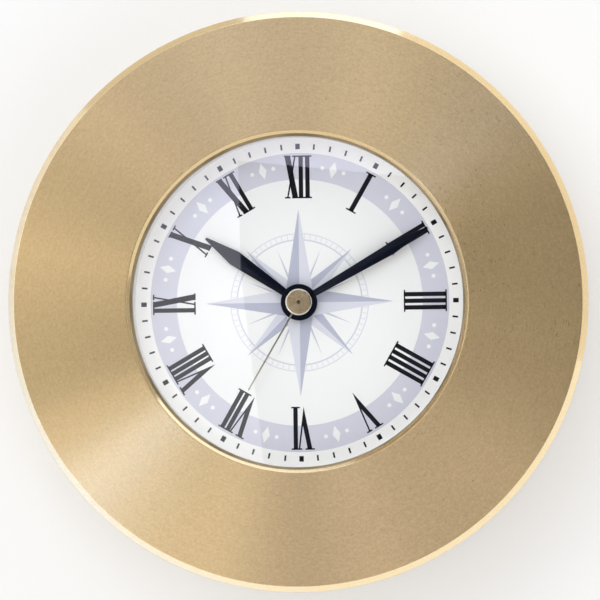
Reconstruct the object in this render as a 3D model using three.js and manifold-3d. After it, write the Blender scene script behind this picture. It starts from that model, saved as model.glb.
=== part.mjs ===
// Chart weight clock: a turned brass desk weight with a quartz clock module fitted from below.
// Millimetres, +Z up, twelve o'clock along +Y. The origin is the centre of the felt's underside.
import * as THREE from "three";
import { mergeVertices } from "three/addons/utils/BufferGeometryUtils.js";
import Module from "manifold-3d";

const wasm = await Module();
wasm.setup();

// Fits
const seatGap = 0.1; // between round pieces that slide together
const pressGap = 0.03; // between a wheel or hand and the arbor that it is pressed on
const bearingGap = 0.06; // between an arbor and its bearing

// Brass weight and its felt
const weightRadius = 50.8;
const rimChamfer = 1.07;
const apertureChamfer = 0.96;
const footChamfer = 0.8;
const lipThickness = 2.2;
const lipOverhang = 2.8;
const padThickness = 1.5;
const padMargin = 1; // felt set back from the edges of the brass
const baseRecess = 3.5; // depth of the retaining ring above the brass foot

// Retaining ring and its screws
const ringThickness = 1.5;
const ringFlange = 6; // width that bears on the brass
const ringBearing = 1.2; // width that reaches past the module's wall
const ringScrewCount = 3;
const ringScrewRadius = 1.25;
const ringScrewHeadRadius = 2.4;
const ringScrewHeadHeight = 1.4;
const ringScrewGrip = 5.5;
const slotWidth = 0.6;
const slotDepth = 0.6;

// Crystal, spacer and dial
const gasketThickness = 0.5;
const gasketSetback = 0.6;
const crystalThickness = 2;
const crystalBevel = 0.3;
const spacerHeight = 3.7;
const spacerReveal = 0.2; // spacer's inner wall behind the edge of the aperture
const dialThickness = 0.5;

// Clock module
const movementRadius = 28.2;
const plateLedge = 1.5;
const housingRim = 2;
const housingFloor = 1.5;
const frontPlateThickness = 1.8;
const bearingDepth = 0.9;
const pillarRadius = 2.2;
const pillarAngles = [5, 100, 185];
const plateScrewRadius = 0.8;
const plateScrewHeadRadius = 1.5;
const plateScrewHeadHeight = 0.8;
const plateScrewGrip = 5;

// Gear train
const wheelThickness = 0.6;
const tierPitch = 1.2; // from one wheel to the next one above it
const tierMargin = 0.5; // under the lowest wheel
const tierCount = 6;
const arborRadius = 0.5;
const toothAddendum = 0.9;
const toothDedendum = 1.2;
const toothRootShare = 0.3; // half a tooth's width at its root, as a share of the tooth pitch
const toothTipShare = 0.11;
const rotorModule = 0.25;
const intermediateModule = 0.4;
const centreModule = 0.3;
const motionModule = 0.6;
const rotorPinionTeeth = 8;
const intermediateTeeth = 40;
const intermediatePinionTeeth = 8;
const secondTeeth = 48;
const secondPinionTeeth = 8;
const thirdTeeth = 60;
const thirdPinionTeeth = 8;
const centreTeeth = 64;
const cannonTeeth = 10;
const minuteTeeth = 30;
const minutePinionTeeth = 8;
const hourTeeth = 32;
const intermediateAzimuth = -60;
const thirdAzimuth = 150;
const stemAzimuth = 60;
const rotorAzimuth = 10; // of the rotor, seen from the intermediate arbor

// Centre pipes and hands
const minutePipeRadius = 1.4;
const clutchFlangeRadius = 2;
const clutchFlangeThickness = 0.3;
const clutchWasherThickness = 0.4;
const hourPipeWall = 0.8;
const handThickness = 0.3;
const handSpacing = 0.9; // from one hand to the next one above it
const handClearance = 0.7; // from the dial up to the hour hand
const handHubRadius = 3.22;
const hourHandLength = 20.1;
const hourHandWidth = 2.72;
const hourHandShoulder = 13.9; // distance from the centre to the widest place
const minuteHandLength = 26.2;
const minuteHandWidth = 2.07;
const minuteHandShoulder = 18.8;
const handRootWidth = 0.95;
const handTipWidth = 0.4;
const secondHandLength = 18;
const secondHandWidth = 0.26;
const secondHandThickness = 0.2;
const capRadius = 2.36;
const capHeight = 0.8;
const capChamfer = 0.15;
const capDimpleRadius = 0.3;
const capDimpleDepth = 0.15;
const hourHandAngle = 305.1; // clockwise from twelve
const minuteHandAngle = 60.7;
const secondHandAngle = 210.6;

// Setting stem and knob
const stemRadius = 1;
const knobRadius = 4.5;
const knobHeight = 3.6;
const knobFlutes = 18;
const knobFluteDepth = 0.25;
const knobGap = 0.4; // between the knob and the module
const knobSocket = 2.4;

// Stepping motor
const magnetRadius = 1.5;
const magnetHeight = 1.6;
const statorThickness = 1;
const statorHoleRadius = 2;
const statorRing = 1.6;
const statorLegWidth = 3;
const coilOffset = 6.6; // from the rotor's axis outwards to the coil's axis
const coilLength = 11;
const coilRadius = 2.6;
const coreWidth = 1.6;
const coreThickness = 1;
const bobbinWall = 0.5;
const bobbinFlange = 0.8;

// Circuit and power
const boardWidth = 10;
const boardDepth = 7;
const boardThickness = 1;
const boardRise = 1; // above the module's floor
const boardPostRadius = 1;
const boardCentre = new THREE.Vector2(-4.5, -21);
const canRadius = 1;
const canLength = 6;
const chipRadius = 2;
const chipHeight = 0.9;
const cellRadius = 5.8;
const cellHeight = 5.4;
const cellCapRadius = 4.3;
const cellCapHeight = 0.5;
const cellAzimuth = -140;
const wellGap = 0.35;
const wellWall = 0.9;
const contactThickness = 0.3;
const contactWidth = 3;
const coverFlangeRadius = 7.6;
const coverFlangeThickness = 0.7;
const coverMargin = 0.4; // between the cover and the retaining ring
const coverPlugRadius = 6.3;
const coverLugReach = 0.6;
const coverLugHeight = 0.5;
const coverLugSpan = 40;
const coverUnlock = 60; // turn that brings the lugs to their notches
const coinSlotWidth = 1.6;
const coinSlotLength = 9;
const coinSlotDepth = 0.9;

// Radii that follow from the module outwards
const frontPlateRadius = movementRadius + plateLedge - seatGap;
const housingRadius = movementRadius + plateLedge + housingRim;
const boreRadius = housingRadius + seatGap;
const insertRadius = boreRadius - seatGap; // crystal, spacer and dial
const apertureRadius = boreRadius - lipOverhang;
const ringInnerRadius = movementRadius - ringBearing;
const ringOuterRadius = boreRadius + ringFlange;
const counterboreRadius = ringOuterRadius + seatGap;
const ringScrewCircle = (boreRadius + ringOuterRadius) / 2;
const padInnerRadius = counterboreRadius + padMargin;
const padOuterRadius = weightRadius - footChamfer - padMargin / 2;

// Levels from the table upwards
const weightBottom = padThickness;
const ringBottom = weightBottom + baseRecess;
const housingBottom = ringBottom + ringThickness;
const floorTop = housingBottom + housingFloor;
const frontPlateBottom = floorTop + 2 * tierMargin + tierCount * tierPitch;
const dialBottom = frontPlateBottom + frontPlateThickness;
const dialTop = dialBottom + dialThickness;
const crystalBottom = dialTop + spacerHeight;
const gasketBottom = crystalBottom + crystalThickness;
const lipBottom = gasketBottom + gasketThickness;
const weightTop = lipBottom + lipThickness;
const hourHandBottom = dialTop + handClearance;
const minuteHandBottom = hourHandBottom + handSpacing;
const capBottom = minuteHandBottom + handSpacing - handThickness / 2;
const arborBottom = floorTop - bearingDepth + bearingGap;
const arborTop = frontPlateBottom + bearingDepth - bearingGap;

const smallSides = 12;
const middleSides = 32;
const largeSides = 60;
const radians = THREE.MathUtils.degToRad;

// Materials
const material = (color, roughness, metalness) =>
  new THREE.MeshStandardMaterial({ color, roughness, metalness });
const brass = material(0xc2a56b, 0.35, 1);
const polishedBrass = material(0xd8b877, 0.12, 1);
const steel = material(0xb4b6b8, 0.3, 1);
const copper = material(0xb06a3c, 0.4, 1);
const felt = material(0x29342b, 0.95, 0);
const rubber = material(0x1c1c1c, 0.8, 0);
const glass = new THREE.MeshStandardMaterial({
  color: 0xf4f8f8,
  roughness: 0.03,
  metalness: 0,
  transparent: true,
  opacity: 0.25,
});
const whitePlastic = material(0xeceae4, 0.5, 0);
const dialWhite = material(0xf3f3f1, 0.4, 0);
const blackPlastic = material(0x1a1b1e, 0.5, 0);
const greyPlastic = material(0x8d9194, 0.5, 0);
const naturalPlastic = material(0xdcd8cb, 0.45, 0);
const handBlack = material(0x10131c, 0.3, 0.2);
const magnetGrey = material(0x55565a, 0.5, 0.6);
const boardGreen = material(0x2f6b45, 0.6, 0);
const silver = material(0xc9cacb, 0.25, 1);

const clock = new THREE.Group();

// Adds a named piece at a height and returns it.
function place(name, geometry, finish, z = 0, parent = clock) {
  const mesh = new THREE.Mesh(geometry, finish);
  mesh.name = name;
  mesh.position.z = z;
  parent.add(mesh);
  return mesh;
}

// A group at a plan position, turned clockwise by an angle in degrees.
function station(point = new THREE.Vector2(), clockwise = 0) {
  const group = new THREE.Group();
  group.position.set(point.x, point.y, 0);
  group.rotation.z = -radians(clockwise);
  clock.add(group);
  return group;
}

// A plan position at a distance and azimuth from another.
function polar(distance, azimuth, from = new THREE.Vector2()) {
  const angle = radians(azimuth);
  return new THREE.Vector2(Math.cos(angle), Math.sin(angle)).multiplyScalar(distance).add(from);
}

// A solid of revolution from [radius, height] corners, counter-clockwise, about +Z.
function turned(corners, sides = largeSides) {
  const closed = corners[0][0] === 0 ? corners : [...corners, corners[0]];
  const points = closed.map(([radius, height]) => new THREE.Vector2(radius, height));
  return new THREE.LatheGeometry(points, sides).rotateX(Math.PI / 2);
}

function disc(radius, height, sides = middleSides) {
  const corners = [
    [0, 0],
    [radius, 0],
    [radius, height],
    [0, height],
  ];
  return turned(corners, sides);
}

function ring(inner, outer, height, sides = middleSides) {
  const corners = [
    [inner, 0],
    [outer, 0],
    [outer, height],
    [inner, height],
  ];
  return turned(corners, sides);
}

function box(width, depth, height) {
  return new THREE.BoxGeometry(width, depth, height).translate(0, 0, height / 2);
}

function extruded(shape, height) {
  return new THREE.ExtrudeGeometry(shape, { depth: height, bevelEnabled: false, curveSegments: 6 });
}

function polygon(corners) {
  return new THREE.Shape(corners.map(([x, y]) => new THREE.Vector2(x, y)));
}

function circlePoints(radius, sides) {
  const step = (2 * Math.PI) / sides;
  return Array.from({ length: sides }, (_, i) => {
    return new THREE.Vector2(radius * Math.cos(i * step), radius * Math.sin(i * step));
  });
}

function roundHole(radius, sides = smallSides) {
  return new THREE.Path(circlePoints(radius, sides));
}

// A sector of a ring, centred on +X.
function sector(inner, outer, span, height) {
  const half = radians(span / 2);
  const shape = new THREE.Shape();
  shape.absarc(0, 0, outer, -half, half, false);
  shape.absarc(0, 0, inner, half, -half, true);
  return extruded(shape, height);
}

// A closed geometry as a solid that can be joined and cut.
function solid(geometry) {
  const bare = geometry.index ? geometry.toNonIndexed() : geometry.clone();
  bare.deleteAttribute("normal");
  bare.deleteAttribute("uv");
  const merged = mergeVertices(bare, 1e-4);
  const index = merged.index.array;
  const triangles = [];
  for (let i = 0; i < index.length; i += 3) {
    const [a, b, c] = index.slice(i, i + 3);
    if (a !== b && b !== c && c !== a) triangles.push(a, b, c);
  }
  const mesh = new wasm.Mesh({
    numProp: 3,
    vertProperties: merged.attributes.position.array,
    triVerts: new Uint32Array(triangles),
  });
  return new wasm.Manifold(mesh);
}

function surface(made) {
  const mesh = made.getMesh();
  const geometry = new THREE.BufferGeometry();
  geometry.setAttribute("position", new THREE.BufferAttribute(mesh.vertProperties, 3));
  geometry.setIndex(new THREE.BufferAttribute(mesh.triVerts, 1));
  return geometry;
}

function joined(first, ...others) {
  return surface(others.reduce((sum, other) => sum.add(solid(other)), solid(first)));
}

function cut(first, ...tools) {
  return surface(tools.reduce((rest, tool) => rest.subtract(solid(tool)), solid(first)));
}

function at(geometry, point, z) {
  return geometry.translate(point.x, point.y, z);
}

// Plan of a gear with straight-sided teeth, thinned for backlash. A tooth is centred at the phase.
function gearShape(teeth, module, phase = 0) {
  const pitchRadius = (teeth * module) / 2;
  const tip = pitchRadius + toothAddendum * module;
  const root = pitchRadius - toothDedendum * module;
  const step = (2 * Math.PI) / teeth;
  const corners = [];
  for (let i = 0; i < teeth; i++) {
    const centre = radians(phase) + i * step;
    const tooth = [
      [root, -toothRootShare],
      [tip, -toothTipShare],
      [tip, toothTipShare],
      [root, toothRootShare],
    ];
    for (const [radius, share] of tooth) {
      const angle = centre + share * step;
      corners.push([radius * Math.cos(angle), radius * Math.sin(angle)]);
    }
  }
  return polygon(corners);
}

function gear(teeth, module, phase, thickness, bore) {
  const shape = gearShape(teeth, module, phase);
  if (bore) shape.holes.push(roundHole(bore));
  return extruded(shape, thickness);
}

function gearDistance(teethA, teethB, module) {
  return ((teethA + teethB) * module) / 2;
}

// Phase that brings gear B into mesh with gear A, where B lies at an azimuth from A.
function meshPhase(teethA, phaseA, teethB, azimuth) {
  const shareA = (((azimuth - phaseA) * teethA) / 360) % 1;
  return azimuth + 180 - ((0.5 - shareA) * 360) / teethB;
}

// Height of the underside of the wheel on a tier of the train.
function tier(level) {
  return floorTop + tierMargin + level * tierPitch;
}

// A wheel with the pinion above it that drives the next tier, on one bore.
function wheelAndPinion(wheel, pinion, bore) {
  const pinionLength = tierPitch + seatGap;
  const lower = gear(wheel.teeth, wheel.module, wheel.phase, wheelThickness, bore);
  const upper = gear(pinion.teeth, pinion.module, pinion.phase, pinionLength + wheelThickness, bore);
  return joined(lower, upper);
}

// Plan positions of the train
const intermediatePoint = polar(
  gearDistance(intermediatePinionTeeth, secondTeeth, intermediateModule),
  intermediateAzimuth,
);
const thirdDistance = gearDistance(thirdPinionTeeth, centreTeeth, centreModule);
const thirdPoint = polar(thirdDistance, thirdAzimuth);
const secondModule = (2 * thirdDistance) / (secondPinionTeeth + thirdTeeth);
const stemPoint = polar(gearDistance(cannonTeeth, minuteTeeth, motionModule), stemAzimuth);
const stemDistance = stemPoint.length();
const hourModule = (2 * stemDistance) / (minutePinionTeeth + hourTeeth);
const rotorPoint = polar(
  gearDistance(rotorPinionTeeth, intermediateTeeth, rotorModule),
  rotorAzimuth,
  intermediatePoint,
);
const cellPoint = polar(ringInnerRadius - coverFlangeRadius - coverMargin, cellAzimuth);
const arborPoints = [intermediatePoint, thirdPoint, rotorPoint];
const pillarCircle = movementRadius - pillarRadius - seatGap;
const pillarPoints = pillarAngles.map((angle) => polar(pillarCircle, angle));

// Heights in the motor
const rotorPinionBottom = tier(0) - seatGap;
const rotorPinionHeight = wheelThickness + 2 * seatGap;
const magnetBottom = rotorPinionBottom + rotorPinionHeight;
const statorBottom = magnetBottom + (magnetHeight - statorThickness) / 2;
const statorTop = statorBottom + statorThickness;
const motorAzimuth = THREE.MathUtils.radToDeg(rotorPoint.angle());
const coilCentre = polar(coilOffset, motorAzimuth, rotorPoint);
const coilCentreHeight = statorTop + coreThickness / 2;
const coilReach = coilLength / 2 + bobbinFlange + statorLegWidth / 2;
const coilEnds = [90, -90].map((side) => polar(coilReach, motorAzimuth + side, coilCentre));

function weightBody() {
  const blank = turned([
    [counterboreRadius, weightBottom],
    [weightRadius - footChamfer, weightBottom],
    [weightRadius, weightBottom + footChamfer],
    [weightRadius, weightTop - rimChamfer],
    [weightRadius - rimChamfer, weightTop],
    [apertureRadius + apertureChamfer, weightTop],
    [apertureRadius, weightTop - apertureChamfer],
    [apertureRadius, lipBottom],
    [boreRadius, lipBottom],
    [boreRadius, housingBottom],
    [counterboreRadius, housingBottom],
  ]);
  const holeDepth = ringScrewGrip + seatGap;
  const holes = ringScrewPoints().map((point) => {
    const drill = disc(ringScrewRadius + seatGap, holeDepth + ringThickness, smallSides);
    return at(drill, point, ringBottom);
  });
  place("weight_body", cut(blank, ...holes), brass);
}

function basePad() {
  place("base_pad", ring(padInnerRadius, padOuterRadius, padThickness, largeSides), felt);
}

function ringScrewPoints() {
  return Array.from({ length: ringScrewCount }, (_, i) => {
    return polar(ringScrewCircle, 90 + (i * 360) / ringScrewCount);
  });
}

function retainingRing() {
  const holes = ringScrewPoints().map((point) => {
    return at(disc(ringScrewRadius + seatGap, 3 * ringThickness, smallSides), point, -ringThickness);
  });
  const flat = ring(ringInnerRadius, ringOuterRadius, ringThickness, largeSides);
  place("retaining_ring", cut(flat, ...holes), steel, ringBottom);
  const length = ringThickness + ringScrewGrip;
  ringScrewPoints().forEach((point, i) => {
    const screw = slottedScrew(ringScrewRadius, ringScrewHeadRadius, ringScrewHeadHeight, length);
    place(`ring_screw_${i + 1}`, screw, steel, ringBottom, station(point));
  });
}

// A pan head below z = 0 with a slot in it, and a shank above.
function slottedScrew(radius, headRadius, headHeight, length) {
  const blank = turned(
    [
      [0, -headHeight],
      [headRadius * 0.8, -headHeight],
      [headRadius, -headHeight * 0.6],
      [headRadius, 0],
      [radius, 0],
      [radius, length],
      [0, length],
    ],
    smallSides * 2,
  );
  const slot = box(3 * headRadius, slotWidth, 2 * slotDepth).translate(0, 0, -headHeight - slotDepth);
  return cut(blank, slot);
}

function crystalStack() {
  const gasketInner = apertureRadius + gasketSetback;
  const gasket = ring(gasketInner, insertRadius, gasketThickness, largeSides);
  place("crystal_gasket", gasket, rubber, gasketBottom);
  const crystal = turned([
    [0, 0],
    [insertRadius, 0],
    [insertRadius, crystalThickness - crystalBevel],
    [insertRadius - crystalBevel, crystalThickness],
    [0, crystalThickness],
  ]);
  place("crystal", crystal, glass, crystalBottom);
  const spacerInner = apertureRadius + spacerReveal;
  const spacer = ring(spacerInner, insertRadius, spacerHeight, largeSides);
  place("dial_spacer", spacer, whitePlastic, dialTop);
  const pipeHole = hourPipeRadius() + seatGap * 2;
  place("dial", ring(pipeHole, insertRadius, dialThickness, largeSides), dialWhite, dialBottom);
}

function hourPipeBore() {
  return minutePipeRadius + bearingGap * 2;
}

function hourPipeRadius() {
  return hourPipeBore() + hourPipeWall;
}

function moduleHousing() {
  const cup = turned([
    [0, housingBottom],
    [housingRadius, housingBottom],
    [housingRadius, dialBottom],
    [frontPlateRadius + seatGap, dialBottom],
    [frontPlateRadius + seatGap, frontPlateBottom],
    [movementRadius, frontPlateBottom],
    [movementRadius, floorTop],
    [0, floorTop],
  ]);
  // A post that stands in the floor and rises above it.
  const post = (point, radius, rise) => {
    return at(disc(radius, rise + housingFloor / 2, smallSides), point, floorTop - housingFloor / 2);
  };
  const pillars = pillarPoints.map((point) => post(point, pillarRadius, frontPlateBottom - floorTop));
  const boardPosts = boardPostPoints().map((point) => post(point, boardPostRadius, boardRise));
  const statorPosts = coilEnds.map((point) => post(point, statorLegWidth / 2, statorBottom - floorTop));
  const pivotHoles = [new THREE.Vector2(), ...arborPoints].map((point) => {
    const hole = disc(arborRadius + bearingGap, bearingDepth + housingFloor, smallSides);
    return at(hole, point, floorTop - bearingDepth);
  });
  // A drill that goes through the floor from below, up to a height above its underside.
  const drillBottom = housingBottom - housingFloor;
  const drill = (point, radius, depth) => at(disc(radius, depth + housingFloor), point, drillBottom);
  const stemHole = at(disc(stemRadius + bearingGap, 3 * housingFloor, smallSides), stemPoint, drillBottom);
  const screwHoles = pillarPoints.map((point) => {
    const depth = plateScrewGrip + seatGap;
    const hole = disc(plateScrewRadius + seatGap, depth + housingFloor, smallSides);
    return at(hole, point, frontPlateBottom - depth);
  });
  const coverHole = drill(cellPoint, coverPlugRadius + seatGap, 2 * housingFloor);
  const coverSeat = drill(cellPoint, coverFlangeRadius + seatGap, coverFlangeThickness);
  const notches = [0, 180].map((turn) => {
    const notch = sector(
      coverPlugRadius - seatGap,
      coverPlugRadius + coverLugReach + seatGap,
      coverLugSpan + 4,
      3 * housingFloor,
    );
    return at(notch.rotateZ(radians(turn - coverUnlock)), cellPoint, drillBottom);
  });
  const shell = joined(cup, ...pillars, ...boardPosts, ...statorPosts);
  const cuts = [...pivotHoles, stemHole, ...screwHoles, coverHole, coverSeat, ...notches];
  place("module_housing", cut(shell, ...cuts), blackPlastic);
}

function frontPlate() {
  const blank = disc(frontPlateRadius, frontPlateThickness, largeSides);
  const pipeHole = disc(hourPipeRadius() + bearingGap, 3 * frontPlateThickness);
  pipeHole.translate(0, 0, -frontPlateThickness);
  const pivotHoles = [...arborPoints, stemPoint].map((point) => {
    const radius = (point === stemPoint ? stemRadius : arborRadius) + bearingGap;
    return at(disc(radius, 2 * bearingDepth, smallSides), point, -bearingDepth);
  });
  const screwHoles = pillarPoints.map((point) => {
    const hole = disc(plateScrewRadius + seatGap, 3 * frontPlateThickness, smallSides);
    return at(hole, point, -frontPlateThickness);
  });
  const headSeats = pillarPoints.map((point) => {
    const seat = disc(plateScrewHeadRadius + seatGap, 2 * plateScrewHeadHeight, smallSides * 2);
    return at(seat, point, frontPlateThickness - plateScrewHeadHeight);
  });
  const wellDepth = frontPlateBottom - cellBottom() - cellHeight / 2;
  const wellInner = cellRadius + wellGap;
  const well = at(
    ring(wellInner, wellInner + wellWall, wellDepth + frontPlateThickness / 2),
    cellPoint,
    -wellDepth,
  );
  const window = box(4 * wellWall + wellInner, contactWidth + 2 * wellGap, 2 * wellDepth);
  window.translate(wellInner, 0, 0).rotateZ(boardDirection());
  const wellWindow = at(window, cellPoint, -2 * wellDepth);
  const plate = joined(blank, well);
  const cuts = [pipeHole, ...pivotHoles, ...screwHoles, ...headSeats, wellWindow];
  place("front_plate", cut(plate, ...cuts), greyPlastic, frontPlateBottom);
  pillarPoints.forEach((point, i) => {
    const length = frontPlateThickness - plateScrewHeadHeight + plateScrewGrip;
    const screw = slottedScrew(plateScrewRadius, plateScrewHeadRadius, plateScrewHeadHeight, length);
    const turnedOver = screw.rotateX(Math.PI);
    place(`plate_screw_${i + 1}`, turnedOver, steel, dialBottom - plateScrewHeadHeight, station(point));
  });
}

function cellBottom() {
  return floorTop + coverLugHeight + 2 * seatGap;
}

// Turn from +X to the direction from the cell to the circuit board.
function boardDirection() {
  return Math.atan2(boardCentre.y - cellPoint.y, boardCentre.x - cellPoint.x);
}

function boardPostPoints() {
  return [1, -1].map((side) => {
    return new THREE.Vector2(boardCentre.x + (side * boardWidth) / 3, boardCentre.y);
  });
}

// Gear phases, worked outwards from the second wheel and the cannon pinion.
const secondPhase = 0;
const cannonPhase = 0;
const intermediatePinionPhase = meshPhase(
  secondTeeth,
  secondPhase,
  intermediatePinionTeeth,
  intermediateAzimuth,
);
const rotorPhase = meshPhase(intermediateTeeth, 0, rotorPinionTeeth, rotorAzimuth);
const thirdPhase = meshPhase(secondPinionTeeth, 0, thirdTeeth, thirdAzimuth);
const centrePhase = meshPhase(thirdPinionTeeth, 0, centreTeeth, thirdAzimuth + 180);
const minutePhase = meshPhase(cannonTeeth, cannonPhase, minuteTeeth, stemAzimuth);
const hourPhase = meshPhase(minutePinionTeeth, 0, hourTeeth, stemAzimuth + 180);

function runningTrain() {
  const bore = arborRadius + pressGap;
  const second = wheelAndPinion(
    { teeth: secondTeeth, module: intermediateModule, phase: secondPhase },
    { teeth: secondPinionTeeth, module: secondModule, phase: 0 },
    bore,
  );
  place("second_wheel", second, naturalPlastic, tier(1));
  const secondArborHeight = capBottom + capHeight / 2 - arborBottom;
  place("second_arbor", disc(arborRadius, secondArborHeight, smallSides), steel, arborBottom);

  const intermediate = wheelAndPinion(
    { teeth: intermediateTeeth, module: rotorModule, phase: 0 },
    { teeth: intermediatePinionTeeth, module: intermediateModule, phase: intermediatePinionPhase },
    bore,
  );
  const intermediateStation = station(intermediatePoint);
  place("intermediate_wheel", intermediate, naturalPlastic, tier(0), intermediateStation);
  trainArbor("intermediate_arbor", intermediateStation);

  const third = wheelAndPinion(
    { teeth: thirdTeeth, module: secondModule, phase: thirdPhase },
    { teeth: thirdPinionTeeth, module: centreModule, phase: 0 },
    bore,
  );
  const thirdStation = station(thirdPoint);
  place("third_wheel", third, naturalPlastic, tier(2), thirdStation);
  trainArbor("third_arbor", thirdStation);

  const centreBore = minutePipeRadius + bearingGap;
  const centre = gear(centreTeeth, centreModule, centrePhase, wheelThickness, centreBore);
  place("centre_wheel", centre, naturalPlastic, tier(3));
}

function trainArbor(name, parent) {
  place(name, disc(arborRadius, arborTop - arborBottom, smallSides), steel, arborBottom, parent);
}

function motionWork() {
  const flangeBottom = tier(3) - clutchFlangeThickness - bearingGap;
  const cannonBottom = tier(3) + wheelThickness + clutchWasherThickness + 2 * bearingGap;
  const cannonTop = tier(4) + wheelThickness + seatGap;
  const pipeBore = arborRadius + bearingGap * 2;
  const pipeTop = minuteHandBottom + handThickness;
  const pipe = ring(pipeBore, minutePipeRadius, pipeTop - flangeBottom);
  const pipeMiddle = (pipeBore + minutePipeRadius) / 2;
  const flange = ring(pipeMiddle, clutchFlangeRadius, clutchFlangeThickness, smallSides);
  const cannon = gear(cannonTeeth, motionModule, cannonPhase, cannonTop - cannonBottom, pipeMiddle);
  const arbor = joined(pipe, flange, cannon.translate(0, 0, cannonBottom - flangeBottom));
  place("minute_arbor", arbor, steel, flangeBottom);
  const washer = ring(minutePipeRadius + pressGap, clutchFlangeRadius, clutchWasherThickness);
  place("clutch_washer", washer, copper, tier(3) + wheelThickness + bearingGap);

  const stem = station(stemPoint);
  const stemBore = stemRadius + pressGap;
  const minute = wheelAndPinion(
    { teeth: minuteTeeth, module: motionModule, phase: minutePhase },
    { teeth: minutePinionTeeth, module: hourModule, phase: 0 },
    stemBore,
  );
  place("minute_wheel", minute, naturalPlastic, tier(4), stem);
  const knobTop = housingBottom - knobGap;
  const stemBottom = knobTop - knobSocket + bearingGap;
  place("setting_stem", disc(stemRadius, arborTop - stemBottom, smallSides), steel, stemBottom, stem);
  place("setting_knob", settingKnob(), blackPlastic, knobTop - knobHeight, stem);

  const hourPipeMiddle = hourPipeBore() + hourPipeWall / 2;
  const hourWheel = gear(hourTeeth, hourModule, hourPhase, wheelThickness, hourPipeMiddle);
  const hourTop = hourHandBottom + handThickness;
  const hourPipe = ring(hourPipeBore(), hourPipeRadius(), hourTop - tier(5));
  place("hour_wheel", joined(hourWheel, hourPipe), naturalPlastic, tier(5));
}

function settingKnob() {
  const steps = knobFlutes * 6;
  const corners = Array.from({ length: steps }, (_, i) => {
    const angle = (i * 2 * Math.PI) / steps;
    const radius = knobRadius - (knobFluteDepth * (1 - Math.cos(knobFlutes * angle))) / 2;
    return [radius * Math.cos(angle), radius * Math.sin(angle)];
  });
  const grip = extruded(polygon(corners), knobHeight);
  const socket = disc(stemRadius + pressGap, 2 * knobSocket, smallSides);
  return cut(grip, socket.translate(0, 0, knobHeight - knobSocket));
}

// A hand along +Y: a hub with a blade that widens to a shoulder and ends in a point.
function handGeometry(length, width, shoulder, bore) {
  const hubHole = disc(bore, 3 * handThickness).translate(0, 0, -handThickness);
  const blade = polygon([
    [handRootWidth / 2, 0],
    [width / 2, shoulder],
    [handTipWidth / 2, length],
    [-handTipWidth / 2, length],
    [-width / 2, shoulder],
    [-handRootWidth / 2, 0],
  ]);
  const hub = disc(handHubRadius, handThickness);
  return cut(joined(hub, extruded(blade, handThickness)), hubHole);
}

function hands() {
  const hour = handGeometry(hourHandLength, hourHandWidth, hourHandShoulder, hourPipeRadius() + pressGap);
  place("hour_hand", hour, handBlack, hourHandBottom, station(undefined, hourHandAngle));
  const minute = handGeometry(
    minuteHandLength,
    minuteHandWidth,
    minuteHandShoulder,
    minutePipeRadius + pressGap,
  );
  place("minute_hand", minute, handBlack, minuteHandBottom, station(undefined, minuteHandAngle));

  const cap = turned(
    [
      [arborRadius + pressGap, 0],
      [capRadius - capChamfer, 0],
      [capRadius, capChamfer],
      [capRadius, capHeight - capChamfer],
      [capRadius - capChamfer, capHeight],
      [capDimpleRadius, capHeight],
      [0, capHeight - capDimpleDepth],
      [0, capHeight / 2 + pressGap],
      [arborRadius + pressGap, capHeight / 2 + pressGap],
    ],
    middleSides,
  );
  place("second_hand_cap", cap, polishedBrass, capBottom);
  const needleRoot = arborRadius + pressGap;
  const needle = polygon([
    [-secondHandWidth / 2, needleRoot],
    [secondHandWidth / 2, needleRoot],
    [secondHandWidth / 2, secondHandLength],
    [-secondHandWidth / 2, secondHandLength],
  ]);
  const needleBottom = capBottom - secondHandThickness;
  const needleStation = station(undefined, secondHandAngle);
  place("second_hand", extruded(needle, secondHandThickness), brass, needleBottom, needleStation);
}

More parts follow.
